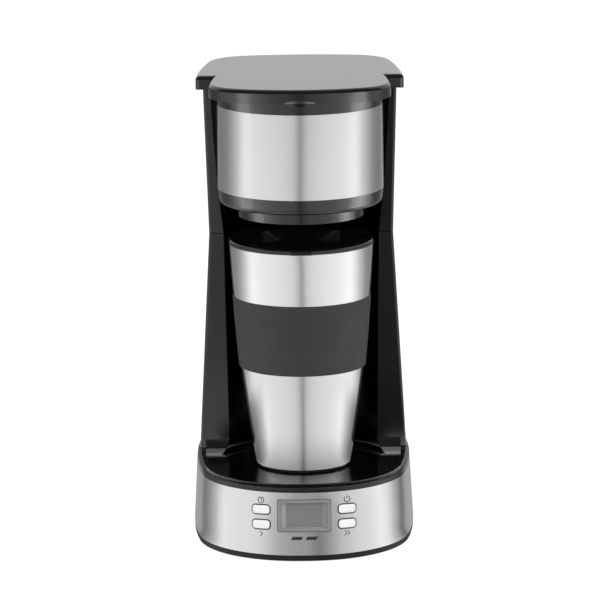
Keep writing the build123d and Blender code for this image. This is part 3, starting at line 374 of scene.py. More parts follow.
def makeFloor(look):
    half = look["floorSpan"] / 2
    z = -look["floorDrop"]
    corners = [(-half, -half, z), (half, -half, z), (half, half, z), (-half, half, z)]
    floor = newObject("paleFloor", meshFrom("paleFloor", corners, [(0, 1, 2, 3)]))
    material, tree = newMaterial("paleFloor")
    matte = addNode(tree, "ShaderNodeBsdfDiffuse", {"Color": look["floorColor"]})
    glow = glowWith(tree, times(tree, seenDirectly(tree), look["floorGlow"]))
    toSurface(tree, addShaders(tree, matte, glow))
    floor.data.materials.append(material)


def makeBox(name, place, aim, width, height, radiance):
    light = bpy.data.lights.new(name, "AREA")
    light.shape = "RECTANGLE"
    light.size = width
    light.size_y = height
    light.energy = radiance * math.pi * width * height
    box = bpy.data.objects.new(name, light)
    scene.collection.objects.link(box)
    facing = (Vector(aim) - Vector(place)).to_track_quat("-Z", "Y")
    box.matrix_world = Matrix.Translation(place) @ facing.to_matrix().to_4x4()
    box.visible_camera = False
    box.visible_glossy = False  # gloss sees the tent instead


def shadeFor(tree, turn, shades):
    brightest = max(shade for angle, shade in shades)
    stops = [(angle / 360 + 0.5, grey(shade / brightest)) for angle, shade in shades]
    share = plus(tree, maths(tree, "DIVIDE", turn, math.tau), 0.5)
    return times(tree, rampOver(tree, share, stops), brightest)


def shine(tree, strength):
    toSurface(tree, glowWith(tree, strength))


def shineThrough(tree, strength):  # light that is added to what lies behind
    clear = addNode(tree, "ShaderNodeBsdfTransparent")
    toSurface(tree, addShaders(tree, glowWith(tree, strength), clear))


def makeTentCloth(name, look, ending):
    material, tree = newMaterial(name)
    turn, reach, rise = aroundBrew(tree)
    onWall = between(tree, reach, *[look["radius"] * share for share in look["wallFrom"]])
    distant = between(tree, reach, *look["far"])
    onFloor = minus(tree, 1.0, onWall)
    width = times(tree, rescale(tree, distant, *look["squeeze"]), onFloor)
    width = plus(tree, width, onWall)
    shade = shadeFor(tree, times(tree, turn, width), look["shades"])
    far = times(tree, distant, onFloor)
    shade = times(tree, shade, rescale(tree, far, 1.0, 1.0 + look["farGain"]))
    away = minus(tree, maths(tree, "ABSOLUTE", turn), math.radians(look["lidSide"]))
    behind = maths(tree, "ADD", times(tree, away, look["sideEdge"]), 0.5, clamp=True)
    upper = rescale(tree, behind, look["frontDark"], look["lidWhite"])
    above = between(tree, rise, look["lidRise"], look["lidRise"] + look["fade"])
    lowPart = times(tree, shade, minus(tree, 1.0, above))
    ending(tree, plus(tree, lowPart, times(tree, upper, above)))
    return material


def shineInwards(tree, strength):  # gloss on the far side sees through the card
    clear = addNode(tree, "ShaderNodeBsdfTransparent")
    back = addNode(tree, "ShaderNodeNewGeometry").outputs["Backfacing"]
    toSurface(tree, mixShaders(tree, back, glowWith(tree, strength), clear))


def makeBandCard(look):
    material, tree = newMaterial("bandCard")
    turn, reach = aroundBrew(tree)[:2]
    close, clear, wide = look["near"]
    wider = rescale(tree, between(tree, reach, close, clear), wide, 1.0)
    shineInwards(tree, shadeFor(tree, times(tree, turn, wider), look["shades"]))
    return material


def makeDeckCard(look, shades):
    material, tree = newMaterial("deckCard")
    turn, reach = aroundBrew(tree)[:2]
    wider = plus(tree, maths(tree, "DIVIDE", look["deckFocus"], reach), 1.0)
    shade = shadeFor(tree, times(tree, turn, wider), shades)
    near, clear, dim = look["deckShade"]
    dimmed = rescale(tree, between(tree, reach, near, clear), dim, 1.0)
    shineInwards(tree, times(tree, shade, dimmed))
    return material


def makeCloth(name, material, rows):  # rows of radius and height round the brew axis, joined in order
    points = [(y, brewY - x, z) for radius, z in rows for x, y in circle(radius, clothSides)]
    cloth = newObject(name, meshFrom(name, points, ringFaces(len(rows), clothSides)))
    cloth.data.materials.append(material)
    for ray in ("camera", "diffuse", "transmission", "shadow"):  # gloss alone sees it
        setattr(cloth, "visible_" + ray, False)
    return cloth


def linkLight(cloth, nodes, state):  # INCLUDE: it lights these nodes alone; EXCLUDE: all but these
    lit = bpy.data.collections.new(cloth.name)
    for member in nodes:
        lit.objects.link(cad[member])
    for entry in lit.collection_objects:
        entry.light_linking.link_state = state
    cloth.light_linking.receiver_collection = lit


def makeStrips(look):  # narrow lights, added to what the black gloss sees
    material, tree = newMaterial(look["name"])
    shineThrough(tree, shadeFor(tree, aroundBrew(tree)[0], look["shades"]))
    linkLight(makeCloth(look["name"], material, look["rows"]), look["nodes"], "INCLUDE")


def makeTent(name, look, ending):
    hub, rim, floor, top = look["hub"], look["radius"], look["lift"], look["height"]
    rows = [(hub, floor), (rim, floor), (rim, top), (hub, top)]
    return makeCloth(name, makeTentCloth(name, look, ending), rows)


def makeCards(look, deckShades):
    rows = [(look["hub"], look["lift"]), (look["radius"], look["lift"]), (look["radius"], look["height"])]
    makeCloth("bandCard", makeBandCard(look), rows)
    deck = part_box("base_deck")[1].z + look["deckLift"]
    rows = [(look["hub"], deck), (look["deckRadius"], deck)]
    first, last = look["rightSide"]
    shades = [(angle * (look["deckRight"] if first < angle < last else 1), shade)
              for angle, shade in deckShades]
    card = makeCloth("deckCard", makeDeckCard(look, shades), rows)
    linkLight(card, columnTent["nodes"], "EXCLUDE")


def makeTents(look, column):
    linkLight(makeTent("lightTent", look, shine), column["nodes"], "EXCLUDE")
    own = {**look, **column}
    kept = [(angle, shade) for angle, shade in look["shades"] if not 0 <= angle <= column["wingEnd"]]
    own["shades"] = sorted(kept + column["wingShades"])
    linkLight(makeTent("columnTent", own, shineThrough), column["nodes"], "INCLUDE")


makeWorld(studioSet)
makeFloor(studioSet)
for boxValues in studioSet["boxes"]:
    makeBox(*boxValues)
makeTents(tentSet, columnTent)
makeCards(cardSet, tentSet["shades"])
for stripValues in (drumStrips, lidStrips, columnDeck):
    makeStrips(stripValues)
print("studio set")


# shader groups that several finishes share
def noiseAt(tree, vector, scale, detail=2.0, roughness=0.5):
    values = {"Vector": vector, "Scale": scale, "Detail": detail, "Roughness": roughness}
    return addNode(tree, "ShaderNodeTexNoise", values).outputs["Fac"]


def driftBy(tree, value, drift):  # 1 plus or minus the drift, from a 0 to 1 value
    centred = minus(tree, value, 0.5)
    return plus(tree, times(tree, centred, drift), 1.0)


def scaleColor(tree, color, factor):
    return output(tree, "ShaderNodeVectorMath", {0: color, "Scale": factor}, operation="SCALE")


vectorIn = ("Vector", "NodeSocketVector", None)
toneIn = ("Tone", "NodeSocketColor", (0.5, 0.5, 0.5, 1))


def floatIn(label, value):
    return (label, "NodeSocketFloat", value)


def newSkin(name, inputs):
    outputs = [("Color", "NodeSocketColor"), ("Roughness", "NodeSocketFloat"), ("Height", "NodeSocketFloat")]
    tree, start, end = newTree(name, "ShaderNodeTree", [vectorIn, toneIn] + inputs, outputs)
    return tree, start.outputs, end


def closeSkin(tree, given, end, color, wander, height):
    roughness = times(tree, given["Roughness"], wander)
    feed(tree, end, {"Color": color, "Roughness": roughness, "Height": height})
    return tree


mouldSet = {"slow": 38.0, "dust": 900.0, "wander": 90.0}  # scales of the noises
brushSet = {"around": 5.0, "slow": 30.0, "slowDrift": 0.06}
wipeSet = {
    "turn": (0.3, 0.2, 0.6),
    "stretch": (1.0, 0.35, 0.6),
    "smear": 70.0,
    "specks": 1500.0,
    "speckLimit": 0.72,
    "waves": 140.0,
}


def makeMouldedSkin(look):  # spark-eroded mould texture, with slow drift of tone and gloss
    inputs = [floatIn("Grain Scale", 2600.0), floatIn("Tone Drift", 0.25), floatIn("Roughness", 0.4),
              floatIn("Roughness Drift", 0.2), floatIn("Dust", 0.0)]
    tree, given, end = newSkin("mouldedSkin", inputs)
    vector = given["Vector"]
    slow = noiseAt(tree, vector, look["slow"], 3.0)
    dust = rescale(tree, noiseAt(tree, vector, look["dust"], 4.0, 0.7), -0.6, 1.0)
    dust = times(tree, maths(tree, "MAXIMUM", dust, 0.0), given["Dust"])
    tone = scaleColor(tree, given["Tone"], driftBy(tree, slow, given["Tone Drift"]))
    wander = driftBy(tree, noiseAt(tree, vector, look["wander"], 3.0), given["Roughness Drift"])
    grain = noiseAt(tree, vector, given["Grain Scale"], 2.0, 0.6)
    return closeSkin(tree, given, end, addColors(tree, tone, dust), wander, grain)


def makeBrushedRound(look):  # fine lines that run round the brew axis
    inputs = [floatIn("Line Scale", 5200.0), floatIn("Tone Drift", 0.12), floatIn("Roughness", 0.3),
              floatIn("Roughness Drift", 0.25)]
    tree, given, end = newSkin("brushedRound", inputs)
    x, y, z = splitVector(tree, given["Vector"])
    around = times(tree, maths(tree, "ARCTAN2", x, y), look["around"])
    line = joinVector(tree, X=around, Y=times(tree, z, given["Line Scale"]))
    lines = noiseAt(tree, line, 1.0, 3.0, 0.6)
    slow = driftBy(tree, noiseAt(tree, given["Vector"], look["slow"], 3.0), look["slowDrift"])
    shade = times(tree, driftBy(tree, lines, given["Tone Drift"]), slow)
    wander = driftBy(tree, lines, given["Roughness Drift"])
    return closeSkin(tree, given, end, scaleColor(tree, given["Tone"], shade), wander, lines)


def makeHandledGloss(look):  # polished moulding with faint wiping marks and specks of dust
    inputs = [floatIn("Roughness", 0.1), floatIn("Smear", 0.5), floatIn("Dust", 0.004)]
    tree, given, end = newSkin("handledGloss", inputs)
    vector = given["Vector"]
    wiped = mapped(tree, vector, Rotation=look["turn"], Scale=look["stretch"])
    wander = driftBy(tree, noiseAt(tree, wiped, look["smear"], 4.0, 0.6), given["Smear"])
    specks = noiseAt(tree, vector, look["specks"], 2.0, 0.7)
    specks = maths(tree, "GREATER_THAN", specks, look["speckLimit"])
    tone = addColors(tree, given["Tone"], times(tree, specks, given["Dust"]))
    return closeSkin(tree, given, end, tone, wander, noiseAt(tree, vector, look["waves"], 2.0))


mouldedSkin = makeMouldedSkin(mouldSet)
brushedRound = makeBrushedRound(brushSet)
handledGloss = makeHandledGloss(wipeSet)
print("shader groups built")


# finishes
def finishWith(name, group, values, shader, bump, centred=False):
    material, tree = newMaterial(name)
    place = fromBrewAxis(tree) if centred else objectCoords(tree)
    skin = addNode(tree, "ShaderNodeGroup", node_tree=group)
    feed(tree, skin, {"Vector": place, **values})
    normal = output(tree, "ShaderNodeBump", {"Height": skin.outputs["Height"], **bump})
    varying = {"Base Color": skin.outputs["Color"], "Roughness": skin.outputs["Roughness"], "Normal": normal}
    toSurface(tree, addNode(tree, "ShaderNodeBsdfPrincipled", {**varying, **shader}))
    return material


def surfaceOf(material):  # its tree, its main shader and what colours that now
    tree = material.node_tree
    surface = tree.nodes["Principled BSDF"]
    return tree, surface, surface.inputs["Base Color"].links[0].from_socket


steelSet = {
    "tone": grey(0.63, 0.004),
    "roughness": 0.21,
    "anisotropy": 0.7,
    "turn": 0.25,  # the lines run round, so the light spreads up and down
    "toneDrift": 0.05,
    "glossDrift": 0.15,
}


def makeSteel(name, look):
    shader = {"Metallic": 1.0, "Anisotropic": look["anisotropy"], "Anisotropic Rotation": look["turn"]}
    values = {"Tone": look["tone"], "Roughness": look["roughness"]}
    values.update({"Tone Drift": look["toneDrift"], "Roughness Drift": look["glossDrift"]})
    bump = {"Distance": 0.000004, "Strength": 0.12}
    return finishWith(name, brushedRound, values, shader, bump, centred=True)


def makePlastic(name, tone, roughness, grain=2600.0, height=0.00002, dust=0.0, level=0.5):
    values = {"Tone": tone, "Roughness": roughness, "Grain Scale": grain, "Dust": dust}
    bump = {"Distance": height, "Strength": 0.5}
    return finishWith(name, mouldedSkin, values, {"Specular IOR Level": level}, bump)


def makeColumnWithBayShade(name, tone, roughness, look):  # as makePlastic, but with painted shade where the drum and mug stand: a dead black there
    material = makePlastic(name, tone, roughness)
    tree, surface = surfaceOf(material)[:2]
    reach = reachOf(tree, *splitVector(tree, fromBrewAxis(tree))[:2])
    feed(tree, surface, {"Metallic": maths(tree, "LESS_THAN", reach, look["radius"])})
    return material


def makeSleeve(name, look):  # rubber with long soft clouds, as left by many hands
    material = makePlastic(name, look["tone"], look["roughness"], grain=1400.0, height=0.00005, dust=0.012)
    tree, surface, plain = surfaceOf(material)
    stretched = mapped(tree, objectCoords(tree), Scale=look["stretch"])
    cloud = noiseAt(tree, stretched, look["cloudScale"], 5.0, 0.6)
    feed(tree, surface, {"Base Color": scaleColor(tree, plain, driftBy(tree, cloud, look["cloud"]))})
    return material


def makeGloss(name, tone, roughness, dust=0.003, level=0.5):
    values = {"Tone": tone, "Roughness": roughness, "Dust": dust}
    bump = {"Distance": 0.00003, "Strength": 0.15}
    return finishWith(name, handledGloss, values, {"Specular IOR Level": level}, bump)


def addScoopHighlight(material, node, rise, look):  # painted highlight in the finger scoop, paler most of all at its ends: a pale tone added where the scoop would catch light
    tree, surface, plain = surfaceOf(material)
    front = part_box(node)[0].y
    length, depth = look["half"]
    inScoop = mapped(tree, objectCoords(tree), Scale=(1 / length, 1 / depth, 1 / depth),
                     Location=(0, -front / depth, -rise / depth))
    away = addNode(tree, "ShaderNodeVectorMath", {0: inScoop}, operation="LENGTH").outputs["Value"]
    toEnds = between(tree, maths(tree, "ABSOLUTE", splitVector(tree, inScoop)["X"]), *look["ends"])
    tone = rescale(tree, toEnds, *look["highlightTones"])
    tone = times(tree, tone, maths(tree, "LESS_THAN", away, look["rim"]))
    feed(tree, surface, {"Base Color": addColors(tree, plain, tone)})
    return material


def makeMetal(name, tone, roughness):
    values = {"Tone": tone, "Roughness": roughness, "Grain Scale": 1800.0, "Tone Drift": 0.3}
    return finishWith(name, mouldedSkin, values, {"Metallic": 1.0}, {"Distance": 0.00002, "Strength": 0.4})


# painted shade: within this radius of the brew axis the column is made dead black
bayShadeSet = {"radius": 0.0534}
lidHeight = 0.008  # from the lid's lip to its top
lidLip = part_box("lid_shell")[1].z - lidHeight
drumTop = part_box("brew_drum")[1].z
# painted highlight of the finger scoops: half length and depth of the scoop, its edge, the span over which
# it brightens towards the ends, and the tones added
scoopHighlightSet = {"half": (0.009, 0.0019), "rim": 1.02, "ends": (0.15, 0.55), "highlightTones": (0.02, 0.12)}
sleeveSet = {
    "tone": grey(0.014),
    "roughness": 0.55,
    "stretch": (0.5, 0.5, 1.6),
    "cloudScale": 110.0,
    "cloud": 0.9,
}
displaySet = {
    "tone": (0.098, 0.104, 0.098, 1),
    "leftTone": (0.225, 0.232, 0.228, 1),
    "rightTone": (0.15, 0.156, 0.152, 1),
    "edge": 0.0029,  # paler strips at both ends of the cell
    "border": 0.0019,  # hidden behind the bezel
    "fade": (0.85, 1.1),  # shares of the strip over which it fades
    "cell": 0.00055,
    "grid": 0.02,
    "cloudScale": 60.0,
    "cloud": 0.1,
    "roughness": 0.3,
}
paneSet = {"tone": (0.94, 0.96, 0.95, 1), "index": 1.46, "hazeScale": 120.0, "haze": (0.02, 0.07)}


def makeDisplayFinish(look):  # unlit liquid crystal: faint cell grid, paler strips at both ends
    material, tree = newMaterial("displayCell")
    low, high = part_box("display_module")
    place = objectCoords(tree)
    parts = splitVector(tree, place)
    turns = [times(tree, parts[way], math.tau / look["cell"]) for way in "XZ"]
    waves = [maths(tree, "SINE", turn) for turn in turns]
    grid = times(tree, times(tree, *waves), look["grid"])
    cloud = driftBy(tree, noiseAt(tree, place, look["cloudScale"], 2.0), look["cloud"])
    pane = high.x - low.x - 2 * look["border"]
    outer, inner = [look["edge"] / pane * share for share in look["fade"]]
    stops = [(outer, look["leftTone"]), (inner, look["tone"]), (1 - inner, look["tone"]),
             (1 - outer, look["rightTone"])]
    along = plus(tree, maths(tree, "DIVIDE", parts["X"], pane), 0.5)
    tone = scaleColor(tree, rampOver(tree, along, stops), plus(tree, cloud, grid))
    values = {"Roughness": look["roughness"], "Base Color": tone}
    toSurface(tree, addNode(tree, "ShaderNodeBsdfPrincipled", values))
    return material


def makeWindowFinish(look):  # clear pane that lets the lamps' light through to the cell
    material, tree = newMaterial("clearPane")
    haze = rescale(tree, noiseAt(tree, objectCoords(tree), look["hazeScale"], 3.0), *look["haze"])
    values = {"Base Color": look["tone"], "Transmission Weight": 1.0, "IOR": look["index"]}
    surface = addNode(tree, "ShaderNodeBsdfPrincipled", {**values, "Roughness": haze})
    shadow = addNode(tree, "ShaderNodeLightPath").outputs["Is Shadow Ray"]
    toSurface(tree, mixShaders(tree, shadow, surface, addNode(tree, "ShaderNodeBsdfTransparent")))
    return material


keyNodes = ["program_button", "hour_button", "power_button", "minute_button"]
dressings = [  # every finish, with the nodes that have it
    (makeSteel("bandSteel", steelSet), ["base_band", "drum_band", "mug_shell"]),
    (makeColumnWithBayShade("columnBlack", grey(0.007), 0.24, bayShadeSet), columnTent["nodes"]),
    (makePlastic("shellBlack", grey(0.009), 0.42, grain=2200.0, level=0.3), ["base_shell", "cord_gland"]),
    (makePlastic("coverBlack", grey(0.011), 0.55, grain=1500.0, height=0.00004, level=0.25), ["base_cover"]),
    (makePlastic("innerBlack", grey(0.016), 0.5, grain=1900.0),
     ["filter_frame", "lid_panel", "mug_liner", "mug_foot"]),
    (makeGloss("pianoBlack", grey(0.006), 0.085), ["mug_lid", "mug_slider"]),
    # lid and drum carry a painted highlight in their finger scoops
    (addScoopHighlight(makeGloss("lidBlack", grey(0.006), 0.085), "lid_shell", lidLip, scoopHighlightSet), ["lid_shell"]),
    (makeGloss("deckBlack", grey(0.002), 0.085), ["base_deck"]),
    (addScoopHighlight(makeGloss("drumBlack", grey(0.004), 0.1, level=0.6), "brew_drum", drumTop, scoopHighlightSet),
     ["brew_drum", "filter_basket"]),
    (makeSleeve("sleeveRubber", sleeveSet), ["mug_sleeve", "mug_lid_seal"]),
    (makePlastic("footRubber", grey(0.03), 0.8, grain=1400.0, height=0.00005, dust=0.01), ["base_feet"]),
    (makePlastic("keyWhite", grey(0.91, 0.004), 0.34, grain=2400.0, height=0.00001), keyNodes),
    (makePlastic("bezelSilver", (0.235, 0.24, 0.235, 1), 0.34, height=0.00001), ["display_bezel"]),
    (makeGloss("lampSmoke", grey(0.022), 0.16), ["indicator_lenses", "indicator_lamps"]),
    (makeMetal("zincPlate", (0.58, 0.58, 0.56, 1), 0.34), ["cover_screws", "hinge_pins"]),
    (makeMetal("heaterSheath", (0.36, 0.34, 0.31, 1), 0.46), ["heating_element"]),
    (makeMetal("extrudedAlloy", (0.74, 0.75, 0.76, 1), 0.42), ["boiler", "boiler_strap", "thermostat"]),
    (makeMetal("sieveWire", (0.56, 0.56, 0.54, 1), 0.32), ["filter_mesh"]),
    (makePlastic("tankSmoke", grey(0.035), 0.3, grain=2000.0),
     ["water_tank", "riser_tube", "outlet_spout", "check_valve"]),
    (makePlastic("hoseMilky", (0.72, 0.72, 0.68, 1), 0.45, grain=1600.0), ["cold_hose", "hot_hose"]),
    (makePlastic("fuseSleeve", (0.78, 0.75, 0.66, 1), 0.4, grain=1800.0), ["thermal_fuses"]),
    (makePlastic("switchBody", grey(0.09), 0.5, grain=1800.0), ["button_switches"]),
    (makePlastic("boardMask", (0.03, 0.16, 0.07, 1), 0.35, grain=900.0, height=0.00005),
     ["control_board", "power_board"]),
    (makeDisplayFinish(displaySet), ["display_module"]),
    (makeWindowFinish(paneSet), ["display_window"]),
    (makePlastic("markInk", grey(0.03), 0.5, height=0.00001), []),
]
finishes = {material.name: material for material, nodes in dressings}


# the CAD meshes come as flat triangles, so a small tree rounds their shading at gentle edges
edgeSet = {"sharp": 32, "merge": 0.000002}


def newShapeTree(name, inputs):
    geometry = ("Geometry", "NodeSocketGeometry")
    return newTree(name, "GeometryNodeTree", [(*geometry, None)] + inputs, [geometry])


def makeRoundShading(look):
    inputs = [floatIn("Sharp Angle", math.radians(look["sharp"]))]
    tree, start, end = newShapeTree("roundShading", inputs)
    values = {"Geometry": start.outputs["Geometry"], "Distance": look["merge"]}
    merged = output(tree, "GeometryNodeMergeByDistance", values)
    values = {"Geometry": merged, "Shade Smooth": True}
    faces = output(tree, "GeometryNodeSetShadeSmooth", values, domain="FACE")
    bend = addNode(tree, "GeometryNodeInputMeshEdgeAngle").outputs["Unsigned Angle"]
    sharp = output(tree, "FunctionNodeCompare", {0: bend, 1: start.outputs["Sharp Angle"]},
                   data_type="FLOAT", operation="GREATER_THAN")
    values = {"Geometry": faces, "Selection": sharp, "Shade Smooth": False}
    edges = output(tree, "GeometryNodeSetShadeSmooth", values, domain="EDGE")
    feed(tree, end, {"Geometry": edges})
    return tree


roundShading = makeRoundShading(edgeSet)
for finish, members in dressings:
    for member in members:
        node = cad[member]
        node.data.materials.clear()
        node.data.materials.append(finish)
        smooth = node.modifiers.new("roundShading", "NODES")
        smooth.node_group = roundShading
        even = node.modifiers.new("evenShading", "WEIGHTED_NORMAL")  # wide faces stay flat
        even.keep_sharp = True
print("finishes on", sum(len(nodes) for finish, nodes in dressings), "of", len(cad), "nodes")


# Geometry Nodes: trees are built here, run on a carrier, and leave plain meshes behind
def runTree(name, tree, values, points=()):
    carrier = newObject(name + "Carrier", meshFrom(name + "Carrier", list(points), []))
    modifier = carrier.modifiers.new(name, "NODES")
    modifier.node_group = tree
    for item in tree.interface.items_tree:
        if item.in_out == "INPUT" and item.name in values:
            modifier[item.identifier] = values[item.name]
    bpy.context.view_layer.update()
    depsgraph = bpy.context.evaluated_depsgraph_get()
    mesh = bpy.data.meshes.new_from_object(carrier.evaluated_get(depsgraph))
    carrier.modifiers.remove(modifier)
    bpy.data.objects.remove(carrier)
    mesh.name = name
    return newObject(name, mesh)


def closeTree(tree, start, end, geometry):
    solid = output(tree, "GeometryNodeRealizeInstances", {"Geometry": geometry})
    values = {"Geometry": solid, "Material": start.outputs["Finish"]}
    dressed = output(tree, "GeometryNodeSetMaterial", values)
    feed(tree, end, {"Geometry": dressed})
    return tree


def makeCopyTree():  # one pattern on every point of the carrier
    inputs = [("Pattern", "NodeSocketObject", None), ("Finish", "NodeSocketMaterial", None)]
    tree, start, end = newShapeTree("copyOnPoints", inputs)
    pattern = addNode(tree, "GeometryNodeObjectInfo", {"Object": start.outputs["Pattern"]})
    values = {"Points": start.outputs["Geometry"], "Instance": pattern.outputs["Geometry"]}
    spread = addNode(tree, "GeometryNodeInstanceOnPoints", values)
    return closeTree(tree, start, end, spread.outputs["Instances"])


copyOnPoints = makeCopyTree()


def copies(name, pattern, finish, points):
    made = runTree(name, copyOnPoints, {"Pattern": pattern, "Finish": finishes[finish]}, points)
    bpy.data.objects.remove(pattern)
    return made


def lathe(name, profile, sides):  # profile of radius and height, closed flat at both ends
    points = [(x, y, z) for radius, z in profile for x, y in circle(radius, sides)]
    faces = ringFaces(len(profile), sides)
    faces += [tuple(range(sides)), tuple(range(len(points) - sides, len(points)))]
    return newObject(name, closedMesh(name, points, faces))


def quarterCentres(node):  # middle of each of four solids that stand in the four quarters
    low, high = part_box(node)
    middle = (low + high) / 2
    corners = [v.co for v in cad[node].data.vertices]
    centres = []
    for right in (False, True):
        for back in (False, True):
            mine = [c for c in corners if (c.x > middle.x) == right and (c.y > middle.y) == back]
            x, y = middleAndHalf([c.x for c in mine])[0], middleAndHalf([c.y for c in mine])[0]
            centres.append((x, y, low.z))
    return centres


# rubber feet with ring grooves
footSet = {"radius": 0.0075, "round": 0.0004, "grooves": 3, "groove": 0.00045, "depth": 0.0004, "sides": 40}


def makeFeet(look):
    low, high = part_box("base_feet")
    radius, rounded, groove, depth = look["radius"], look["round"], look["groove"], look["depth"]
    profile = []
    step = (radius - 2 * rounded) / look["grooves"]
    for index in range(look["grooves"]):
        inner = step * index + groove
        profile += [(inner, depth), (inner + groove, 0.0), (inner + step - groove, 0.0),
                    (inner + step - groove / 2, depth)]
    profile += [(radius - rounded, 0.0), (radius, rounded), (radius, high.z - low.z)]
    pattern = lathe("footPattern", profile, look["sides"])
    feet = copies("ringedFeet", pattern, "footRubber", quarterCentres("base_feet"))
    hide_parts("base_feet")
    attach(feet, "housing")


makeFeet(footSet)


# cross-head screws in the bottom cover
screwSet = {
    "head": 0.003,
    "rise": 0.0013,
    "shank": 0.0015,
    "length": 0.016,
    "cross": 0.0017,
    "arm": 0.0004,
    "depth": 0.0008,
    "taper": 0.7,  # share of the cross that its floor keeps
    "sides": 32,
}


def makeScrewPattern(look):
    shape = bmesh.new()
    sides = look["sides"]

    def ringAt(radius, z):
        return [shape.verts.new((x, y, z)) for x, y in circle(radius, sides)]

    rim = ringAt(look["head"], 0)
    arm, reach = look["arm"], look["cross"]
    crossPlan = [
        (arm, arm), (arm, reach), (-arm, reach), (-arm, arm), (-reach, arm), (-reach, -arm),
        (-arm, -arm), (-arm, -reach), (arm, -reach), (arm, -arm), (reach, -arm), (reach, arm),
    ]
    mouth = [shape.verts.new((x, y, 0)) for x, y in crossPlan]
    loops = []
    for ringPoints in (rim, mouth):
        loops += [shape.edges.new((ringPoints[i - 1], ringPoints[i])) for i in range(len(ringPoints))]
    bmesh.ops.triangle_fill(shape, edges=loops, use_beauty=True)
    taper = look["taper"]
    deep = [shape.verts.new((x * taper, y * taper, look["depth"])) for x, y in crossPlan]
    for i in range(len(mouth)):
        shape.faces.new((mouth[i - 1], mouth[i], deep[i], deep[i - 1]))
    shape.faces.new(deep)
    above = rim
    head, shank, rise = look["head"], look["shank"], look["rise"]
    for radius, z in ((head, rise), (shank, rise), (shank, look["length"])):
        row = ringAt(radius, z)
        for i in range(sides):
            shape.faces.new((above[i - 1], above[i], row[i], row[i - 1]))
        above = row
    shape.faces.new(above)
    bmesh.ops.recalc_face_normals(shape, faces=shape.faces)
    return newObject("screwPattern", meshOf("screwPattern", shape))


screws = copies("crossScrews", makeScrewPattern(screwSet), "zincPlate", quarterCentres("cover_screws"))
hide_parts("cover_screws")
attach(screws, "housing")
print("feet and screws placed")


# woven sieve of the permanent filter
sieveSet = {
    "hoops": 58,
    "uprights": 120,
    "floorHoops": 26,
    "floorHole": 0.0008,  # radius of the innermost hoop
    "wire": 0.00012,
    "wireSides": 5,
    "sides": 64,
}


def makeSieveTree(look):
    numbers = ("Floor Radius", "Rim Radius", "Floor Z", "Rim Z", "Centre Y", "Wire")
    counts = ("Hoops", "Uprights", "Floor Hoops", "Sides")
    inputs = [floatIn(label, None) for label in numbers]
    inputs += [(label, "NodeSocketInt", None) for label in counts]
    inputs.append(("Finish", "NodeSocketMaterial", None))
    tree, start, end = newShapeTree("wovenSieve", inputs)
    given = start.outputs

    def slope(low, high, count):
        values = {"Start Location": low, "Offset": high, "Count": count}
        return output(tree, "GeometryNodeMeshLine", values, mode="END_POINTS")

    def woven(points, curve, way, value):  # the curve on every point, as wire
        values = {"Points": points, "Instance": curve, way: value}
        spread = output(tree, "GeometryNodeInstanceOnPoints", values)
        curves = output(tree, "GeometryNodeRealizeInstances", {"Geometry": spread})
        values = {"Resolution": look["wireSides"], "Radius": given["Wire"]}
        thread = output(tree, "GeometryNodeCurvePrimitiveCircle", values)
        values = {"Curve": curves, "Profile Curve": thread}
        return output(tree, "GeometryNodeCurveToMesh", values)

    def hoopsOn(line):
        spot = splitVector(tree, output(tree, "GeometryNodeInputPosition"))
        values = {"Name": "hoopRadius", "Geometry": line, "Value": spot["X"]}
        keep = addNode(tree, "GeometryNodeStoreNamedAttribute", values, data_type="FLOAT", domain="POINT")
        values = {"Geometry": keep.outputs["Geometry"], "Position": joinVector(tree, Z=spot["Z"])}
        centres = output(tree, "GeometryNodeSetPosition", values)
        values = {"Radius": 1.0, "Resolution": given["Sides"]}
        hoop = output(tree, "GeometryNodeCurvePrimitiveCircle", values)
        read = addNode(tree, "GeometryNodeInputNamedAttribute", {"Name": "hoopRadius"}, data_type="FLOAT")
        radius = read.outputs["Attribute"]
        return woven(centres, hoop, "Scale", joinVector(tree, X=radius, Y=radius, Z=1.0))

    def turnedRound(line):
        curve = output(tree, "GeometryNodeMeshToCurve", {"Mesh": line})
        dots = output(tree, "GeometryNodePoints", {"Count": given["Uprights"]})
        index = output(tree, "GeometryNodeInputIndex")
        turn = times(tree, maths(tree, "DIVIDE", index, given["Uprights"]), math.tau)
        return woven(dots, curve, "Rotation", joinVector(tree, Z=turn))

    inner = joinVector(tree, X=look["floorHole"], Z=given["Floor Z"])
    foot = joinVector(tree, X=given["Floor Radius"], Z=given["Floor Z"])
    rim = joinVector(tree, X=given["Rim Radius"], Z=given["Rim Z"])
    join = addNode(tree, "GeometryNodeJoinGeometry")
    for low, high, count in ((foot, rim, given["Hoops"]), (inner, foot, given["Floor Hoops"])):
        feed(tree, join, {"Geometry": hoopsOn(slope(low, high, count))})
        feed(tree, join, {"Geometry": turnedRound(slope(low, high, 2))})
    values = {"Geometry": join.outputs["Geometry"], "Translation": joinVector(tree, Y=given["Centre Y"])}
    moved = output(tree, "GeometryNodeTransform", values)
    return closeTree(tree, start, end, moved)


def makeSieve(look):
    low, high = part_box("filter_mesh")
    wire = look["wire"]
    corners = [v.co for v in cad["filter_mesh"].data.vertices]
    values = {
        "Floor Radius": max(math.hypot(c.x, c.y - brewY) for c in corners if c.z < low.z + wire),
        "Rim Radius": (high.x - low.x) / 2 - wire,
        "Floor Z": low.z + wire,
        "Rim Z": high.z - wire,
        "Centre Y": brewY,
        "Hoops": look["hoops"],
        "Uprights": look["uprights"],
        "Floor Hoops": look["floorHoops"],
        "Wire": wire,
        "Sides": look["sides"],
        "Finish": finishes["sieveWire"],
    }
    sieve = runTree("wovenSieve", makeSieveTree(look), values)
    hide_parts("filter_mesh")
    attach(sieve, "housing")
    print("sieve woven:", len(sieve.data.polygons), "faces")


makeSieve(sieveSet)


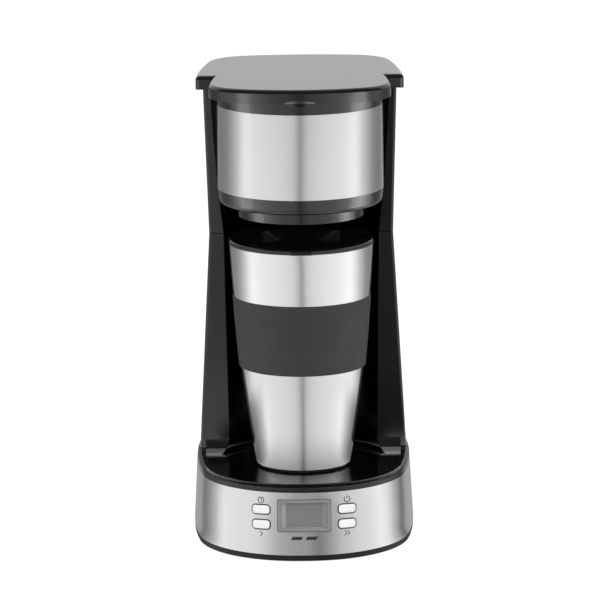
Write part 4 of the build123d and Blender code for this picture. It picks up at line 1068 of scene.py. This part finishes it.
def newPiece(name, mesh, finish):
    made = newObject(name, mesh)
    made.data.materials.append(finishes[finish])
    return made


# the panel leans back, and keys and holes run square to it, so its pieces are laid out on it set upright
panelSet = {"lean": 3.1025}
upright = Matrix.Rotation(math.radians(panelSet["lean"]), 3, "X")
leaning = upright.transposed()


def bandSurface():  # the steel band's front, to set things on
    band = cad["base_band"].data
    corners = [upright @ v.co for v in band.vertices]
    hull = BVHTree.FromPolygons(corners, [tuple(p.vertices) for p in band.polygons])
    front = min(corner.y for corner in corners)

    def depthAt(x, z):
        hit = hull.ray_cast(Vector((x, front - 0.05, z)), Vector((0, 1, 0)))[0]
        return hit.y

    return depthAt


def panelBox(node):  # middle and half sizes of a node, across and up the panel
    corners = [upright @ v.co for v in cad[node].data.vertices]
    return tuple(zip(middleAndHalf([c.x for c in corners]), middleAndHalf([c.z for c in corners])))


bandDepth = bandSurface()


# black collars that fill the gaps round the keys and the display, partly a real collar and partly painted
# shadow: they reach onto the steel as dark outlines where the gaps' shade falls
collarShadowSet = {
    "openings": [  # nodes, part of the box hidden behind the band, corner, gap to the band, edge on the band (a painted shadow)
        (keyNodes, 0.0012, 0.0017, 0.00045, 0.0003),
        (["display_bezel"], 0.0, 0.0009, 0.00025, 0.0001),
    ],
    "clear": 0.00006,
    "landing": 0.0003,  # how far outside the hole the steel is felt for
    "proud": 0.00004,
    "depth": 0.0012,
    "steps": 6,  # round each corner
    "runs": 14,  # along each side, so that it follows the curved steel
}


def roundedLoop(halfWidth, halfHeight, corner, steps, runs):
    loop = []
    for quarter in range(4):
        middleX = (halfWidth - corner) * (1 if quarter in (0, 3) else -1)
        middleZ = (halfHeight - corner) * (1 if quarter in (0, 1) else -1)
        for step in range(steps + 1):
            turn = math.radians(90 * quarter + 90 * step / steps)
            loop.append((middleX + corner * math.cos(turn), middleZ + corner * math.sin(turn)))
        x, z = loop[-1]
        alongX, alongZ = (-2 * x, 0) if quarter in (0, 2) else (0, -2 * z)
        loop += [(x + alongX * run / runs, z + alongZ * run / runs) for run in range(1, runs)]
    return loop


def makeCollarShadow(look, node, hidden, corner, gap, edge):  # rows of six points round one opening
    (middleX, middleZ), (halfWidth, halfHeight) = panelBox(node)

    def loopAt(grow):
        out = grow - hidden
        return roundedLoop(halfWidth + out, halfHeight + out, corner + grow, look["steps"], look["runs"])

    points = []
    proud, depth = -look["proud"], look["depth"]
    loops = zip(loopAt(gap + edge), loopAt(gap), loopAt(look["clear"]), loopAt(gap + look["landing"]))
    for outer, hole, inner, landing in loops:
        steel = bandDepth(middleX + landing[0], middleZ + landing[1])
        section = ((outer, proud), (outer, 0.0), (hole, 0.0), (hole, depth), (inner, depth), (inner, proud))
        points += [leaning @ Vector((middleX + x, steel + deep, middleZ + z)) for (x, z), deep in section]
    return points


def makeCollarShadows(look):
    points = []
    faces = []
    for nodes, *sizes in look["openings"]:
        for node in nodes:
            first = len(points)
            points += makeCollarShadow(look, node, *sizes)
            count = (len(points) - first) // 6
            for step in range(count):
                here, after = first + 6 * step, first + 6 * ((step + 1) % count)
                for a in range(6):
                    b = (a + 1) % 6
                    faces.append((here + a, here + b, after + b, after + a))
    collars = newPiece("panelCollars", closedMesh("panelCollars", points, faces), "markInk")
    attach(collars, "housing")


makeCollarShadows(collarShadowSet)


# front walls that close the lid's two ears
earSet = {"inner": 0.0475, "outer": 0.0592, "front": 0.00405, "wall": 0.0016, "rise": 0.006, "round": 0.0004}


def makeEarFronts(look):
    shape = bmesh.new()
    inner, outer, wall, rise = look["inner"], look["outer"], look["wall"], look["rise"]
    size = Matrix.Diagonal((outer - inner, wall, rise, 1))
    for side in (-1, 1):
        place = (side * (inner + outer) / 2, brewY + look["front"] + wall / 2, lidLip + rise / 2)
        bmesh.ops.create_cube(shape, size=1.0, matrix=Matrix.Translation(place) @ size)
    bmesh.ops.bevel(shape, geom=shape.edges[:], offset=look["round"], segments=2, affect="EDGES")
    walls = newPiece("earFronts", meshOf("earFronts", shape), "lidBlack")
    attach(walls, "lid")


makeEarFronts(earSet)
print("panel collars and ear fronts placed")


# small printed signs by the four keys: clock, power and chevrons
signSet = {
    "radius": 0.0017,
    "stroke": 0.00046,
    "away": 0.0019,
    "proud": 0.00005,
    "sink": 0.00025,
    "steps": 28,
}


def arc(radius, first, last, steps):
    turns = [math.radians(first + (last - first) * i / steps) for i in range(steps + 1)]
    return [(radius * math.sin(t), radius * math.cos(t)) for t in turns]


def chevron(aside, size):
    return [(aside - size / 2, size), (aside + size / 2, 0.0), (aside - size / 2, -size)]


def signStrokes(look):
    r, n = look["radius"], look["steps"]
    clock = [arc(r, 0, 360, n), [(0, 0.72 * r), (0, 0)], [(0, 0), (0.55 * r, -0.1 * r)]]
    power = [arc(r, 38, 322, n), [(0, 1.25 * r), (0, 0.25 * r)]]
    single = [chevron(0, 0.85 * r)]
    double = [chevron(-0.5 * r, 0.85 * r), chevron(0.5 * r, 0.85 * r)]
    return {  # strokes, and 1 for above the key or -1 for below
        "program_button": (clock, 1),
        "power_button": (power, 1),
        "hour_button": (single, -1),
        "minute_button": (double, -1),
    }


def strokeEdges(points, width):
    sides = []
    closed = (Vector(points[0]) - Vector(points[-1])).length < width / 10
    for i in range(len(points)):
        before = points[i - 1] if i else (points[-2] if closed else points[0])
        after = points[i + 1] if i + 1 < len(points) else (points[1] if closed else points[-1])
        along = (Vector(after) - Vector(before)).normalized()
        across = Vector((-along.y, along.x)) * width / 2
        sides.append((Vector(points[i]) + across, Vector(points[i]) - across))
    return sides


def makeSigns(look):
    points = []
    faces = []
    for key, (strokes, side) in signStrokes(look).items():
        (middleX, middleZ), halves = panelBox(key)
        signZ = middleZ + side * (halves[1] + look["away"])
        for stroke in strokes:
            first = len(points)
            rows = strokeEdges(stroke, look["stroke"])
            for pair in rows:
                for x, z in pair:
                    depth = bandDepth(middleX + x, signZ + z)
                    for deep in (-look["proud"], look["sink"]):
                        points.append(leaning @ Vector((middleX + x, depth + deep, signZ + z)))
            for i in range(len(rows) - 1):
                a, b = first + 4 * i, first + 4 * (i + 1)
                faces += [(a, a + 2, b + 2, b), (a + 1, b + 1, b + 3, a + 3)]
                faces += [(a, b, b + 1, a + 1), (a + 2, a + 3, b + 3, b + 2)]
            last = first + 4 * (len(rows) - 1)
            faces += [(first, first + 1, first + 3, first + 2), (last, last + 2, last + 3, last + 1)]
    signs = newPiece("keySigns", closedMesh("keySigns", points, faces), "markInk")
    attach(signs, "housing")
    print("key signs printed")


makeSigns(signSet)
